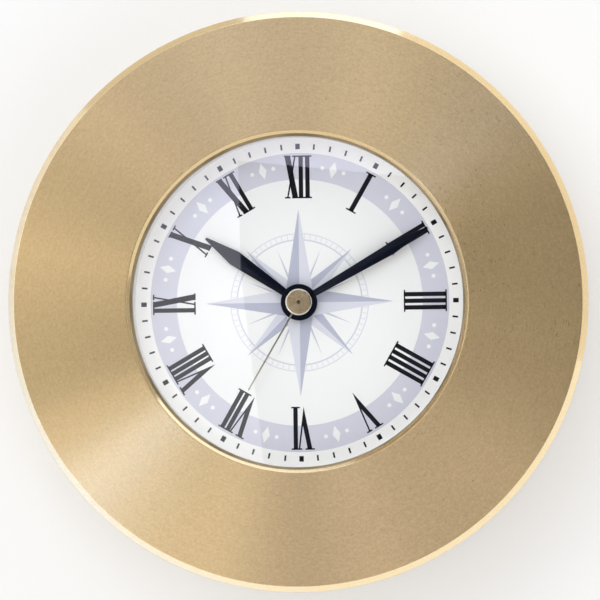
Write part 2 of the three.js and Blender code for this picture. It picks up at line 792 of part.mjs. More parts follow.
function motor() {
  const rotor = station(rotorPoint);
  const shaft = disc(arborRadius, arborTop - arborBottom, smallSides);
  const pinion = gear(rotorPinionTeeth, rotorModule, rotorPhase, rotorPinionHeight);
  const rotorShaft = joined(shaft, pinion.translate(0, 0, rotorPinionBottom - arborBottom));
  place("rotor_pinion", rotorShaft, naturalPlastic, arborBottom, rotor);
  const magnet = ring(arborRadius + pressGap, magnetRadius, magnetHeight, smallSides);
  place("rotor_magnet", magnet, magnetGrey, magnetBottom + seatGap, rotor);

  // The stator is a C-shaped plate with the rotor's hole in its back and the coil across its ends.
  const eye = disc(statorHoleRadius + statorRing, statorThickness);
  const back = box(statorLegWidth, 2 * coilReach + statorLegWidth, statorThickness);
  const legs = [1, -1].map((side) => {
    const leg = box(coilOffset + statorLegWidth, statorLegWidth, statorThickness);
    return leg.translate(coilOffset / 2, side * coilReach, 0);
  });
  const hole = disc(statorHoleRadius, 3 * statorThickness).translate(0, 0, -statorThickness);
  const stator = cut(joined(eye, back, ...legs), hole);
  place("stator", stator, steel, statorBottom, station(rotorPoint, -motorAzimuth));

  const coil = station(coilCentre, -motorAzimuth);
  const core = box(coreWidth, 2 * coilReach + statorLegWidth, coreThickness);
  place("coil_core", core, steel, statorTop, coil);

  // The bobbin and its winding lie along the core.
  const tube = coreWidth / Math.SQRT2 + bobbinWall;
  const halfLength = coilLength / 2 + bobbinFlange;
  const spool = turned(
    [
      [0, -halfLength],
      [coilRadius, -halfLength],
      [coilRadius, -coilLength / 2],
      [tube, -coilLength / 2],
      [tube, coilLength / 2],
      [coilRadius, coilLength / 2],
      [coilRadius, halfLength],
      [0, halfLength],
    ],
    middleSides / 2,
  ).rotateX(Math.PI / 2);
  const coreSlot = box(coreWidth + 2 * pressGap, 4 * halfLength, coreThickness + 2 * pressGap);
  const bobbin = cut(spool, coreSlot.translate(0, 0, -coreThickness / 2 - pressGap));
  place("coil_bobbin", bobbin, whitePlastic, coilCentreHeight, coil);
  const windingRadius = coilRadius - seatGap * 2;
  const winding = ring(tube + pressGap, windingRadius, coilLength - 2 * pressGap, middleSides / 2);
  const lying = winding.translate(0, 0, -coilLength / 2 + pressGap).rotateX(Math.PI / 2);
  place("coil_winding", lying, copper, coilCentreHeight, coil);
}

function circuit() {
  const boardBottom = floorTop + boardRise;
  const boardTop = boardBottom + boardThickness;
  const board = at(box(boardWidth, boardDepth, boardThickness), boardCentre, 0);
  place("circuit_board", board, boardGreen, boardBottom);
  const can = disc(canRadius, canLength, smallSides).rotateY(Math.PI / 2);
  const canPlace = new THREE.Vector2(boardCentre.x - canLength / 2, boardCentre.y - boardDepth / 4);
  place("quartz_can", at(can, canPlace, 0), silver, boardTop + canRadius);
  const chip = turned(
    [
      [0, 0],
      [chipRadius, 0],
      [chipRadius * 0.85, chipHeight * 0.6],
      [chipRadius * 0.5, chipHeight],
      [0, chipHeight],
    ],
    smallSides,
  );
  const chipPlace = new THREE.Vector2(boardCentre.x + boardWidth / 4, boardCentre.y + boardDepth / 5);
  place("chip_cover", at(chip, chipPlace, 0), rubber, boardTop);
}

function power() {
  const bottom = cellBottom();
  const cell = turned(
    [
      [0, 0],
      [cellRadius, 0],
      [cellRadius, cellHeight - cellCapHeight],
      [cellCapRadius, cellHeight - cellCapHeight],
      [cellCapRadius, cellHeight],
      [0, cellHeight],
    ],
    middleSides,
  );
  const cellStation = station(cellPoint);
  cellStation.rotation.z = boardDirection();
  place("button_cell", cell, silver, bottom, cellStation);

  const boardTop = floorTop + boardRise + boardThickness;
  const reach = Math.hypot(boardCentre.x - cellPoint.x, boardCentre.y - cellPoint.y) - boardWidth / 2;
  const leafBottom = bottom + cellHeight + seatGap;
  const legFoot = reach + contactWidth / 2;
  const negative = new THREE.Shape([
    new THREE.Vector2(-cellCapRadius / 2, leafBottom),
    new THREE.Vector2(legFoot, leafBottom),
    new THREE.Vector2(legFoot, boardTop),
    new THREE.Vector2(legFoot + contactThickness, boardTop),
    new THREE.Vector2(legFoot + contactThickness, leafBottom + contactThickness),
    new THREE.Vector2(-cellCapRadius / 2, leafBottom + contactThickness),
  ]);
  const strip = extruded(negative, contactWidth).rotateX(Math.PI / 2).translate(0, contactWidth / 2, 0);
  place("negative_contact", strip, copper, 0, cellStation);

  const sideTab = cellRadius + seatGap;
  const tabTop = bottom + cellHeight / 2;
  const positive = new THREE.Shape([
    new THREE.Vector2(sideTab, boardTop),
    new THREE.Vector2(legFoot - contactThickness, boardTop),
    new THREE.Vector2(legFoot - contactThickness, boardTop + contactThickness),
    new THREE.Vector2(sideTab + contactThickness, boardTop + contactThickness),
    new THREE.Vector2(sideTab + contactThickness, tabTop),
    new THREE.Vector2(sideTab, tabTop),
  ]);
  const tab = extruded(positive, contactWidth).rotateX(Math.PI / 2).translate(0, contactWidth / 2, 0);
  place("positive_contact", tab, copper, 0, cellStation);
}

function batteryCover() {
  const plugHeight = floorTop - housingBottom + coverLugHeight + seatGap;
  const flange = disc(coverFlangeRadius, coverFlangeThickness - seatGap);
  const plug = disc(coverPlugRadius, plugHeight);
  const lugs = [0, 180].map((turn) => {
    const lug = sector(coverPlugRadius - 1, coverPlugRadius + coverLugReach, coverLugSpan, coverLugHeight);
    return lug.rotateZ(radians(turn)).translate(0, 0, plugHeight - coverLugHeight);
  });
  const slot = box(coinSlotLength, coinSlotWidth, 2 * coinSlotDepth).translate(0, 0, -coinSlotDepth);
  const cover = cut(joined(flange, plug, ...lugs), slot);
  place("battery_cover", cover, blackPlastic, housingBottom, station(cellPoint));
}

weightBody();
basePad();
retainingRing();
crystalStack();
moduleHousing();
frontPlate();
runningTrain();
motionWork();
hands();
motor();
circuit();
power();
batteryCover();

export default clock;
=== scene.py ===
"""Looks of the chart weight clock: a turned brass weight with a quartz module under a flat crystal.

Sizes are in millimetres until a mesh is made. Twelve o'clock lies along +Y and +Z is up.
"""

import logging
import math
from collections.abc import Callable, Iterable, Sequence
from dataclasses import dataclass, field
from enum import Enum
from typing import Any, Union

import bmesh
import bpy
from mathutils import Matrix, Vector

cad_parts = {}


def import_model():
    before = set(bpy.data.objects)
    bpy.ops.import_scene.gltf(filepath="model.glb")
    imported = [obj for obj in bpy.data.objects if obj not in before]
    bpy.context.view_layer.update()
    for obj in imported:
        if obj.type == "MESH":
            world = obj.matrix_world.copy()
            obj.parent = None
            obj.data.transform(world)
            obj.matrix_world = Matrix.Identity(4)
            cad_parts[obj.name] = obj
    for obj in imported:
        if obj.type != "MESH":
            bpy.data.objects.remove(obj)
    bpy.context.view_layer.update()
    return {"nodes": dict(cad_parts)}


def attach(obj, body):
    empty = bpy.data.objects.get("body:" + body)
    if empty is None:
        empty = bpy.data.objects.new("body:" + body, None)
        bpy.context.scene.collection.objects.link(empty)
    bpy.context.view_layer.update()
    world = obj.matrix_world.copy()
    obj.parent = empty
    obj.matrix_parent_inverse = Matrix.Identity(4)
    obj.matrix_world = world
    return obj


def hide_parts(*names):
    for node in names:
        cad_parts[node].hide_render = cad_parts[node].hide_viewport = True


LOG = logging.getLogger("chart_weight_clock")
MM = 0.001
SHARP_ANGLE = 35.0
BLADE_SHARP_ANGLE = 40.0
HOURS = 12
HOUR_TURN = 30.0
SORT_LINE = Vector((1.0, 0.317, 0.0731))

Colour = tuple[float, float, float]
Place = tuple[float, float]
Outline = list[Place]
Operand = Union["Sock", float]


class Body(Enum):
    """The bodies of the frame that carry a new piece."""

    WEIGHT = "weight"
    HOURS = "hours"
    MINUTES = "minutes"
    SECONDS = "seconds"
    SETTING = "setting"
    COVER = "cover"


class Slot(Enum):
    """The record's material slots, named with each new piece but not passed on."""

    BRASS_SATIN = "brass_satin"
    BRASS_POLISHED = "brass_polished"
    FELT = "felt"
    STEEL = "steel"
    CRYSTAL = "crystal"
    DIAL_WHITE = "dial_white"
    HAND_BLACK = "hand_black"
    WHITE_PLASTIC = "white_plastic"
    BLACK_PLASTIC = "black_plastic"


class Letter(Enum):
    """The letters of a Roman numeral."""

    I = "I"
    V = "V"
    X = "X"


def math_operator(operation: str, swapped: bool = False) -> Callable[["Sock", Operand], "Sock"]:
    """Makes a Python operator that adds a Math node.

    Args:
        operation: The Math node's operation.
        swapped: True where the number comes first.

    Returns:
        The operator's method.
    """

    def apply(left: "Sock", right: Operand) -> "Sock":
        """Adds the node."""
        return left.math(operation, *((right, left) if swapped else (left, right)))

    return apply


class Sock:
    """A node's output that takes part in Python arithmetic by adding Math nodes."""

    def __init__(self, graph: "Graph", socket: bpy.types.NodeSocket | None) -> None:
        """Wraps one output socket of a graph."""
        self.graph = graph
        self.socket = socket

    def math(self, operation: str, *values: Operand) -> "Sock":
        """Adds a Math node with these inputs, in order."""
        return self.graph.node("ShaderNodeMath", {"operation": operation}, dict(enumerate(values)))

    __add__ = math_operator("ADD")
    __sub__ = math_operator("SUBTRACT")
    __rsub__ = math_operator("SUBTRACT", True)
    __mul__ = math_operator("MULTIPLY")
    __truediv__ = math_operator("DIVIDE")
    __pow__ = math_operator("POWER")
    __mod__ = math_operator("MODULO")
    __gt__ = math_operator("GREATER_THAN")
    __lt__ = math_operator("LESS_THAN")


class Graph:
    """A node tree that is filled by one generic node method."""

    def __init__(self, tree: bpy.types.NodeTree) -> None:
        """Starts from an empty tree."""
        self.tree = tree
        tree.nodes.clear()

    def node(
        self,
        kind: str,
        settings: dict[str, Any] | None = None,
        inputs: dict[str | int, Any] | None = None,
        output: str | int = 0,
    ) -> Sock:
        """Adds a node.

        Args:
            kind: The node's type.
            settings: Its properties, set first; "stops" are a ramp's places and colours.
            inputs: Values or links of its sockets, by name or number.
            output: The output that is returned.

        Returns:
            The chosen output, empty for a node with none.
        """
        made = self.tree.nodes.new(kind)
        for name, value in (settings or {}).items():
            if name == "stops":
                self._set_stops(made, value)
            else:
                setattr(made, name, value)
        for key, value in (inputs or {}).items():
            self._feed(made.inputs[key], value)
        return Sock(self, made.outputs[output] if len(made.outputs) else None)

    def _set_stops(self, ramp: bpy.types.Node, stops: Sequence[tuple[float, Colour]]) -> None:
        """Gives a ramp its stops.

        Args:
            ramp: The ramp's node.
            stops: Its places and colours, in order.
        """
        elements = ramp.color_ramp.elements
        while len(elements) < len(stops):
            elements.new(1.0)
        for element, (place, colour) in zip(elements, stops):
            element.position = place
            element.color = (*colour, 1.0)

    def _feed(self, socket: bpy.types.NodeSocket, value: Any) -> None:
        """Links a socket or sets its value.

        Args:
            socket: The node's input.
            value: A socket to link, or a plain value.
        """
        if isinstance(value, Sock):
            self.tree.links.new(value.socket, socket)
        elif socket.type == "RGBA":
            socket.default_value = (*value, 1.0)
        else:
            socket.default_value = value

    def axes(self, vector: Sock) -> list[Sock]:
        """The three parts of a vector."""
        return [self.node("ShaderNodeSeparateXYZ", None, {0: vector}, axis) for axis in "XYZ"]


class ShaderGraph(Graph):
    """A material's or world's tree, with the patterns that the finishes share."""

    def point(self) -> Sock:
        """The place on the piece, in metres."""
        return self.node("ShaderNodeTexCoord", output="Object")

    def stretched(self, scale: Sequence[float], turn: float) -> Sock:
        """Object coordinates turned about Z by some degrees, then scaled along each axis.

        Args:
            scale: Scale along X, Y and Z.
            turn: Degrees about Z.

        Returns:
            The turned and scaled coordinates.
        """
        inputs = {"Vector": self.point(), "Rotation": (0.0, 0.0, math.radians(turn))}
        turned = self.node("ShaderNodeMapping", None, inputs)
        return self.node("ShaderNodeMapping", None, {"Vector": turned, "Scale": tuple(scale)})

    def noise(self, scale: float, detail: float = 2.0, vector: Sock | None = None) -> Sock:
        """Cloud noise around one half, at the place on the piece where no other vector is given."""
        inputs = {"Vector": vector or self.point(), "Scale": scale, "Detail": detail}
        return self.node("ShaderNodeTexNoise", None, inputs, "Fac")

    def wave(self, direction: str, inputs: dict[str, Any]) -> Sock:
        """Even bands across one axis."""
        settings = {"wave_type": "BANDS", "bands_direction": direction, "wave_profile": "SIN"}
        return self.node("ShaderNodeTexWave", settings, inputs, 1)

    def polar(self, across: float, along: float) -> Sock:
        """Coordinates that follow turned grooves about Z, without a seam.

        Args:
            across: Scale across the grooves, per metre.
            along: Scale round the circle, per radius.

        Returns:
            A vector for a noise texture.
        """
        x, y, z = self.axes(self.point())
        radius = (x * x + y * y) ** 0.5
        safe = radius + 1e-6
        parts = {0: radius * across + z * (across * 0.83), 1: x / safe * along, 2: y / safe * along}
        return self.node("ShaderNodeCombineXYZ", None, parts)

    def blend(self, share: Sock, low: Any, high: Any) -> Sock:
        """Mixes two colours or links; a share of 0 gives the low one and 1 the high one."""
        settings = {"data_type": "RGBA", "clamp_factor": True}
        return self.node("ShaderNodeMix", settings, {0: share, 6: low, 7: high}, 2)

    def toned(self, share: Sock, colour: Colour, low: float, high: float) -> Sock:
        """Mixes a colour's darker and lighter tones, given as factors."""
        return self.blend(share, tinted(colour, low), tinted(colour, high))

    def bump(self, height: Sock, strength: float, depth: float) -> Sock:
        """A normal from a height between 0 and 1, its depth in metres."""
        inputs = {"Height": height, "Strength": strength, "Distance": depth}
        return self.node("ShaderNodeBump", None, inputs)

    def principled(self, **inputs: Any) -> Sock:
        """A Principled shader; underscores in the names stand for spaces."""
        named = {key.replace("_", " "): value for key, value in inputs.items()}
        return self.node("ShaderNodeBsdfPrincipled", None, named)

    def mixed(self, share: Sock | float, first: Sock, second: Sock) -> Sock:
        """Two shaders mixed by the second one's share."""
        return self.node("ShaderNodeMixShader", None, {0: share, 1: first, 2: second})


def tinted(colour: Colour, factor: float) -> Colour:
    """A colour times a factor, held under white."""
    return tuple(min(1.0, part * factor) for part in colour)


@dataclass(frozen=True)
class Finish:
    """A named surface finish. Each kind wires its own shader."""

    name: str
    colour: Colour

    def surface(self, graph: ShaderGraph) -> Sock:
        """Wires the shader into the material's empty tree and returns its output."""
        raise NotImplementedError

    def material(self) -> bpy.types.Material:
        """The material of this finish, made once.

        Returns:
            The material, found by its name or new.
        """
        found = bpy.data.materials.get(self.name)
        if found is not None:
            return found
        made = bpy.data.materials.new(self.name)
        made.use_nodes = True
        made.diffuse_color = (*self.colour, 1.0)
        graph = ShaderGraph(made.node_tree)
        graph.node("ShaderNodeOutputMaterial", None, {"Surface": self.surface(graph)})
        return made


@dataclass(frozen=True)
class TurnedMetal(Finish):
    """Metal turned or brushed in circles about Z."""

    roughness: float
    brushing: float
    groove: float
    relief: float
    mottle: float
    sand: float = 0.5

    def surface(self, graph: ShaderGraph) -> Sock:
        """Grooves that follow the circle, over a fine satin grain.

        Args:
            graph: The material's empty tree.

        Returns:
            The shader's output.
        """
        rings = graph.noise(1.0, 1.0, graph.polar(self.groove, 2.0))
        arcs = graph.noise(1.0, 1.0, graph.polar(self.groove, 40.0))
        grain = graph.noise(self.groove * 0.9, 1.0)
        patches = graph.noise(45.0)
        short = 0.13 + 0.34 * self.sand
        tone = grain * self.sand + arcs * short + rings * (0.9 - short - self.sand) + patches * 0.1
        spread = (tone - 0.5) * 3.0 + 0.5
        height = rings * (1.0 - short - 0.4 * self.sand) + arcs * short + grain * (0.4 * self.sand)
        return graph.principled(
            Base_Color=graph.toned(spread, self.colour, 1.0 - self.mottle, 1.0 + self.mottle),
            Metallic=1.0,
            Roughness=(arcs - 0.5) * 0.1 + (patches - 0.5) * 0.05 + self.roughness,
            Anisotropic=self.brushing,
            Anisotropic_Rotation=0.25,
            Normal=graph.bump(height, self.relief, 0.00002),
        )


@dataclass(frozen=True)
class DrawnMetal(Finish):
    """Rolled or drawn metal with straight grain."""

    roughness: float
    turn: float = 0.0
    relief: float = 0.2

    def surface(self, graph: ShaderGraph) -> Sock:
        """Long scratches along the drawing direction and dull patches.

        Args:
            graph: The material's empty tree.

        Returns:
            The shader's output.
        """
        lines = graph.noise(1.0, 3.0, graph.stretched((180.0, 9000.0, 9000.0), self.turn))
        patches = graph.noise(260.0, 3.0)
        return graph.principled(
            Base_Color=graph.toned(lines * 0.6 + patches * 0.4, self.colour, 0.86, 1.08),
            Metallic=1.0,
            Roughness=(lines - 0.5) * 0.2 + (patches - 0.5) * 0.15 + self.roughness,
            Normal=graph.bump(lines, self.relief, 0.00002),
        )


@dataclass(frozen=True)
class MouldedPlastic(Finish):
    """Moulded plastic with a fine eroded texture."""

    roughness: float
    grain: float = 5200.0
    relief: float = 0.3

    def surface(self, graph: ShaderGraph) -> Sock:
        """Fine pits, flow clouds and a little handling gloss.

        Args:
            graph: The material's empty tree.

        Returns:
            The shader's output.
        """
        pits = graph.noise(self.grain)
        flow = graph.noise(1.0, 3.0, graph.stretched((60.0, 140.0, 60.0), 25.0))
        return graph.principled(
            Base_Color=graph.toned(pits * 0.5 + flow * 0.5, self.colour, 0.86, 1.1),
            Roughness=(pits - 0.5) * 0.2 + (flow - 0.5) * 0.12 + self.roughness,
            Normal=graph.bump(pits, self.relief, 0.00003),
        )


@dataclass(frozen=True)
class SpunPaint(Finish):
    """Sprayed paint on a flat plate."""

    roughness: float = 0.5

    def surface(self, graph: ShaderGraph) -> Sock:
        """A faint orange peel and clouds in the white.

        Args:
            graph: The material's empty tree.

        Returns:
            The shader's output.
        """
        peel = graph.noise(1500.0, 1.0)
        return graph.principled(
            Base_Color=graph.toned(graph.noise(60.0), self.colour, 0.985, 1.01),
            Roughness=(peel - 0.5) * 0.12 + self.roughness,
            Specular_IOR_Level=0.3,
            Normal=graph.bump(peel, 0.06, 0.00002),
        )


@dataclass(frozen=True)
class PrintedInk(Finish):
    """Screen-printed ink with a slightly uneven film."""

    film: float
    shine: float = 0.25

    def surface(self, graph: ShaderGraph) -> Sock:
        """A mesh-fine mottle in tone and gloss.

        Args:
            graph: The material's empty tree.

        Returns:
            The shader's output.
        """
        mesh = graph.noise(4200.0)
        tone = mesh * 0.55 + graph.noise(420.0) * 0.45
        return graph.principled(
            Base_Color=graph.toned(tone, self.colour, 1.0 - self.film, 1.0 + self.film),
            Roughness=(mesh - 0.5) * 0.2 + 0.55,
            Specular_IOR_Level=self.shine,
            Normal=graph.bump(mesh, 0.05, 0.00001),
        )


@dataclass(frozen=True)
class HandLacquer(Finish):
    """Dark lacquer on a stamped hand."""

    roughness: float = 0.16

    def surface(self, graph: ShaderGraph) -> Sock:
        """Soft clouds, a fine peel and pin-prick dust.

        Args:
            graph: The material's empty tree.

        Returns:
            The shader's output.
        """
        peel = graph.noise(2600.0)
        dust = graph.noise(5200.0, 0.0) > 0.74
        base = graph.toned(graph.noise(300.0), self.colour, 0.8, 1.3)
        return graph.principled(
            Base_Color=graph.blend(dust * 0.015, base, (0.5, 0.5, 0.5)),
            Roughness=(peel - 0.5) * 0.1 + dust * 0.2 + self.roughness,
            Specular_IOR_Level=0.08,
            Normal=graph.bump(peel, 0.08, 0.00002),
        )


@dataclass(frozen=True)
class WoolFelt(Finish):
    """Pressed wool felt."""

    def surface(self, graph: ShaderGraph) -> Sock:
        """Matted fibres in two tones with a soft sheen.

        Args:
            graph: The material's empty tree.

        Returns:
            The shader's output.
        """
        tangle = graph.noise(1.0, 4.0, graph.stretched((2400.0, 900.0, 2400.0), 33.0))
        crossed = graph.noise(1.0, 4.0, graph.stretched((900.0, 2600.0, 2400.0), 12.0))
        fibres = tangle * 0.5 + crossed * 0.5
        tone = (fibres - 0.5) * 2.2 + (graph.noise(220.0, 3.0) - 0.5) * 0.8 + 0.5
        return graph.principled(
            Base_Color=graph.toned(tone, self.colour, 0.6, 1.7),
            Roughness=(fibres - 0.5) * 0.15 + 0.92,
            Sheen_Weight=0.35,
            Sheen_Roughness=0.5,
            Normal=graph.bump(fibres, 0.7, 0.00025),
        )


@dataclass(frozen=True)
class ClearGlass(Finish):
    """Flat clear glass, thin enough not to bend what lies behind it."""

    index: float = 1.8

    def surface(self, graph: ShaderGraph) -> Sock:
        """A mirror that grows with the angle over a clear body, with faint wiping marks.

        The first face met mirrors for both faces, so that no slanting light is caught inside.

        Args:
            graph: The material's empty tree.

        Returns:
            The shader's output.
        """
        wipe = graph.noise(1.0, 3.0, graph.stretched((60.0, 700.0, 60.0), 20.0))
        rough = (wipe - 0.5) * 0.012 + 0.012
        shine = graph.node("ShaderNodeFresnel", None, {"IOR": self.index})
        inside = graph.node("ShaderNodeNewGeometry", output="Backfacing")
        clear = graph.node("ShaderNodeBsdfTransparent", None, {"Color": self.colour})
        gloss = graph.node("ShaderNodeBsdfGlossy", None, {"Color": WHITE, "Roughness": rough})
        return graph.mixed(shine * (1.0 - inside), clear, gloss)


@dataclass(frozen=True)
class WoundWire(Finish):
    """Fine enamelled wire wound in close turns."""

    turn: float

    def surface(self, graph: ShaderGraph) -> Sock:
        """Close turns across the coil, each a little off its neighbour.

        Args:
            graph: The material's empty tree.

        Returns:
            The shader's output.
        """
        place = graph.stretched((1.0, 1.0, 1.0), self.turn)
        turns = graph.wave("X", {"Vector": place, "Scale": 1900.0, "Distortion": 0.4})
        uneven = graph.noise(900.0)
        return graph.principled(
            Base_Color=graph.toned(turns * 0.7 + uneven * 0.3, self.colour, 0.5, 1.15),
            Metallic=1.0,
            Roughness=(uneven - 0.5) * 0.2 + 0.3,
            Normal=graph.bump(turns, 0.6, 0.0001),
        )


@dataclass(frozen=True)
class CircuitLaminate(Finish):
    """Glass-fibre board under solder mask."""

    def surface(self, graph: ShaderGraph) -> Sock:
        """A woven ground under the mask.

        Args:
            graph: The material's empty tree.

        Returns:
            The shader's output.
        """
        warp, weft = (graph.wave(axis, {"Vector": graph.point(), "Scale": 700.0}) for axis in "XY")
        cloth = warp * weft
        clouds = graph.noise(500.0)
        return graph.principled(
            Base_Color=graph.toned(cloth * 0.6 + clouds * 0.4, self.colour, 0.7, 1.3),
            Roughness=(clouds - 0.5) * 0.15 + 0.35,
            Normal=graph.bump(cloth, 0.15, 0.00003),
        )


WHITE: Colour = (1.0, 1.0, 1.0)
BRASS: Colour = (0.86, 0.655, 0.365)
SATIN_BRASS = TurnedMetal("satin_brass_face", (0.6, 0.44, 0.235), 0.3, 1.0, 3000.0, 0.045, 0.11)
BRIGHT_BRASS = TurnedMetal("bright_brass_edge", BRASS, 0.13, 0.2, 2600.0, 0.05, 0.03)
# The lip's brass is darkened well below the other brass: painted shade for the dark band inside the mouth.
LIP_BRASS_PAINTED_SHADE = TurnedMetal("turned_brass_lip_painted_shade", (0.36, 0.265, 0.135), 0.38, 0.4, 2600.0, 0.2, 0.06)
WALL_BRASS = TurnedMetal("turned_brass_wall", BRASS, 0.24, 0.5, 3400.0, 0.12, 0.07, 0.02)
BARE_BRASS = TurnedMetal("bare_brass_underside", (0.72, 0.53, 0.28), 0.38, 0.5, 1800.0, 0.45, 0.12)
CAP_BRASS = TurnedMetal("cap_brass", (0.42, 0.32, 0.19), 0.34, 0.5, 2600.0, 0.1, 0.24)
# The cap's rim is pale, almost white metal: a painted highlight.
CAP_RIM_PAINTED_HIGHLIGHT = TurnedMetal("cap_rim_painted_highlight", (0.72, 0.66, 0.55), 0.2, 0.2, 3800.0, 0.05, 0.03)
# The dimple is nearly black brass: painted shade in the hollow.
CAP_DIMPLE_PAINTED_SHADE = TurnedMetal("cap_dimple_painted_shade", (0.13, 0.105, 0.06), 0.45, 0.2, 3800.0, 0.05, 0.03)
NEEDLE_GILT = DrawnMetal("needle_gilt", (0.33, 0.305, 0.245), 0.3, 30.0, 0.1)
FELT_GREEN = WoolFelt("dark_green_felt", (0.022, 0.034, 0.024))
STEEL_BRIGHT = DrawnMetal("bright_steel", (0.62, 0.63, 0.64), 0.3)
STEEL_TURNED = TurnedMetal("turned_steel", (0.44, 0.445, 0.45), 0.3, 0.5, 2200.0, 0.3, 0.14, 0.08)
NICKEL = DrawnMetal("nickel_plate", (0.66, 0.66, 0.67), 0.22, 70.0)
COPPER_STRIP = DrawnMetal("bronze_strip", (0.55, 0.29, 0.13), 0.3, 15.0)
COIL_WIRE = WoundWire("coil_wire", (0.55, 0.22, 0.09), 53.05)
MAGNET_GREY = DrawnMetal("sintered_magnet", (0.16, 0.16, 0.17), 0.55, 0.0, 0.5)
RUBBER_BLACK = MouldedPlastic("gasket_rubber", (0.012, 0.012, 0.012), 0.75, 2600.0, 0.2)
PLASTIC_BLACK = MouldedPlastic("black_moulding", (0.016, 0.016, 0.018), 0.46)
PLASTIC_GREY = MouldedPlastic("grey_moulding", (0.26, 0.28, 0.3), 0.5)
PLASTIC_WHITE = MouldedPlastic("white_moulding", (0.86, 0.86, 0.84), 0.5, 3200.0, 0.1)
# The spacer is the white moulding made grey: painted shade on its wall under the lip.
SPACER_PAINTED_SHADE = MouldedPlastic("spacer_moulding_painted_shade", (0.68, 0.68, 0.665), 0.5, 3200.0, 0.1)
ACETAL = MouldedPlastic("natural_acetal", (0.72, 0.69, 0.58), 0.4, 2400.0, 0.12)
GREEN_BOARD = CircuitLaminate("circuit_board", (0.03, 0.16, 0.07))
CLEAR_CRYSTAL = ClearGlass("clear_crystal", (0.995, 0.998, 0.996))
DIAL_PAINT = SpunPaint("dial_white_paint", (0.92, 0.92, 0.91))
# The outer ring of the dial is painted lighter than the rest of the dial: painted light against the shade of
# the lip.
TRACK_PAINTED_LIGHT = SpunPaint("dial_track_painted_light", (0.98, 0.965, 0.94))
INK_BLACK = PrintedInk("numeral_ink", (0.006, 0.006, 0.01), 0.3, 0.1)
INK_LAVENDER = PrintedInk("band_ink", (0.67, 0.67, 0.755), 0.03)
INK_PALE = PrintedInk("rose_pale_ink", (0.72, 0.725, 0.80), 0.03)
INK_DEEP = PrintedInk("rose_deep_ink", (0.49, 0.5, 0.61), 0.04)
INK_WHITE = PrintedInk("band_white_ink", (0.93, 0.93, 0.925), 0.015)
HAND_BLACK = HandLacquer("hand_lacquer", (0.002, 0.0035, 0.011))

CAD_FINISHES: dict[Finish, tuple[str, ...]] = {
    RUBBER_BLACK: ("crystal_gasket",),
    PLASTIC_BLACK: ("module_housing", "chip_cover"),
    PLASTIC_GREY: ("front_plate",),
    PLASTIC_WHITE: ("coil_bobbin",),
    ACETAL: (
        *("second_wheel", "intermediate_wheel", "third_wheel", "centre_wheel"),
        *("minute_wheel", "hour_wheel", "rotor_pinion"),
    ),
    STEEL_BRIGHT: (
        *("plate_screw_1", "plate_screw_2", "plate_screw_3", "stator", "coil_core"),
        *("second_arbor", "intermediate_arbor", "third_arbor", "minute_arbor", "setting_stem"),
    ),
    COIL_WIRE: ("coil_winding",),
    COPPER_STRIP: ("clutch_washer", "negative_contact", "positive_contact"),
    MAGNET_GREY: ("rotor_magnet",),
    GREEN_BOARD: ("circuit_board",),
    NICKEL: ("quartz_can", "button_cell"),
}


def spot(radius: float, degrees: float) -> Place:
    """A point at a distance from the axis, anticlockwise from +X."""
    turn = math.radians(degrees)
    return (radius * math.cos(turn), radius * math.sin(turn))


def arc(radius: float, start: float, end: float, steps: int) -> Outline:
    """Points along a circle from one angle to another, in degrees."""
    return [spot(radius, start + (end - start) * k / steps) for k in range(steps + 1)]


def circle(radius: float, count: int, at: Place = (0.0, 0.0)) -> Outline:
    """Points evenly round a circle."""
    turns = [math.tau * k / count for k in range(count)]
    return [(at[0] + radius * math.cos(turn), at[1] + radius * math.sin(turn)) for turn in turns]


def rectangle(across: float, along: float, middle: float = 0.0) -> Outline:
    """A rectangle with its middle on the Y axis."""
    half, low, high = across / 2, middle - along / 2, middle + along / 2
    return [(-half, low), (half, low), (half, high), (-half, high)]


def clockwise(degrees: float) -> Matrix:
    """A turn about Z, clockwise from above."""
    return Matrix.Rotation(-math.radians(degrees), 4, "Z")


def shifted(mesh: bpy.types.Mesh, at: Place) -> bpy.types.Mesh:
    """Moves a mesh level and returns it."""
    mesh.transform(Matrix.Translation((at[0] * MM, at[1] * MM, 0.0)))
    return mesh


def smoothed(mesh: bpy.types.Mesh, angle: float = SHARP_ANGLE) -> bpy.types.Mesh:
    """Shades a mesh smooth except across edges sharper than an angle, and returns it.

    Args:
        mesh: The mesh that is shaded.
        angle: Degrees past which an edge stays sharp.

    Returns:
        The same mesh.
    """
    mesh.shade_smooth()
    mesh.set_sharp_from_angle(angle=math.radians(angle))
    return mesh


def mesh_from(bm: bmesh.types.BMesh, angle: float = SHARP_ANGLE) -> bpy.types.Mesh:
    """Turns a bmesh into a smooth mesh and frees it.

    Args:
        bm: The bmesh.
        angle: Degrees past which an edge stays sharp.

    Returns:
        The new mesh.
    """
    mesh = bpy.data.meshes.new("shape")
    bm.to_mesh(mesh)
    bm.free()
    return smoothed(mesh, angle)


def made_object(name: str, mesh: bpy.types.Mesh, *finishes: Finish) -> bpy.types.Object:
    """Puts a mesh in the scene.

    Args:
        name: The object's name.
        mesh: Its mesh, in place.
        finishes: Its materials, in slot order.

    Returns:
        The new object, at the origin.
    """
    mesh.name = name
    for place, finish in enumerate(finishes):
        if place < len(mesh.materials):
            mesh.materials[place] = finish.material()
        else:
            mesh.materials.append(finish.material())
    made = bpy.data.objects.new(name, mesh)
    bpy.context.scene.collection.objects.link(made)
    return made


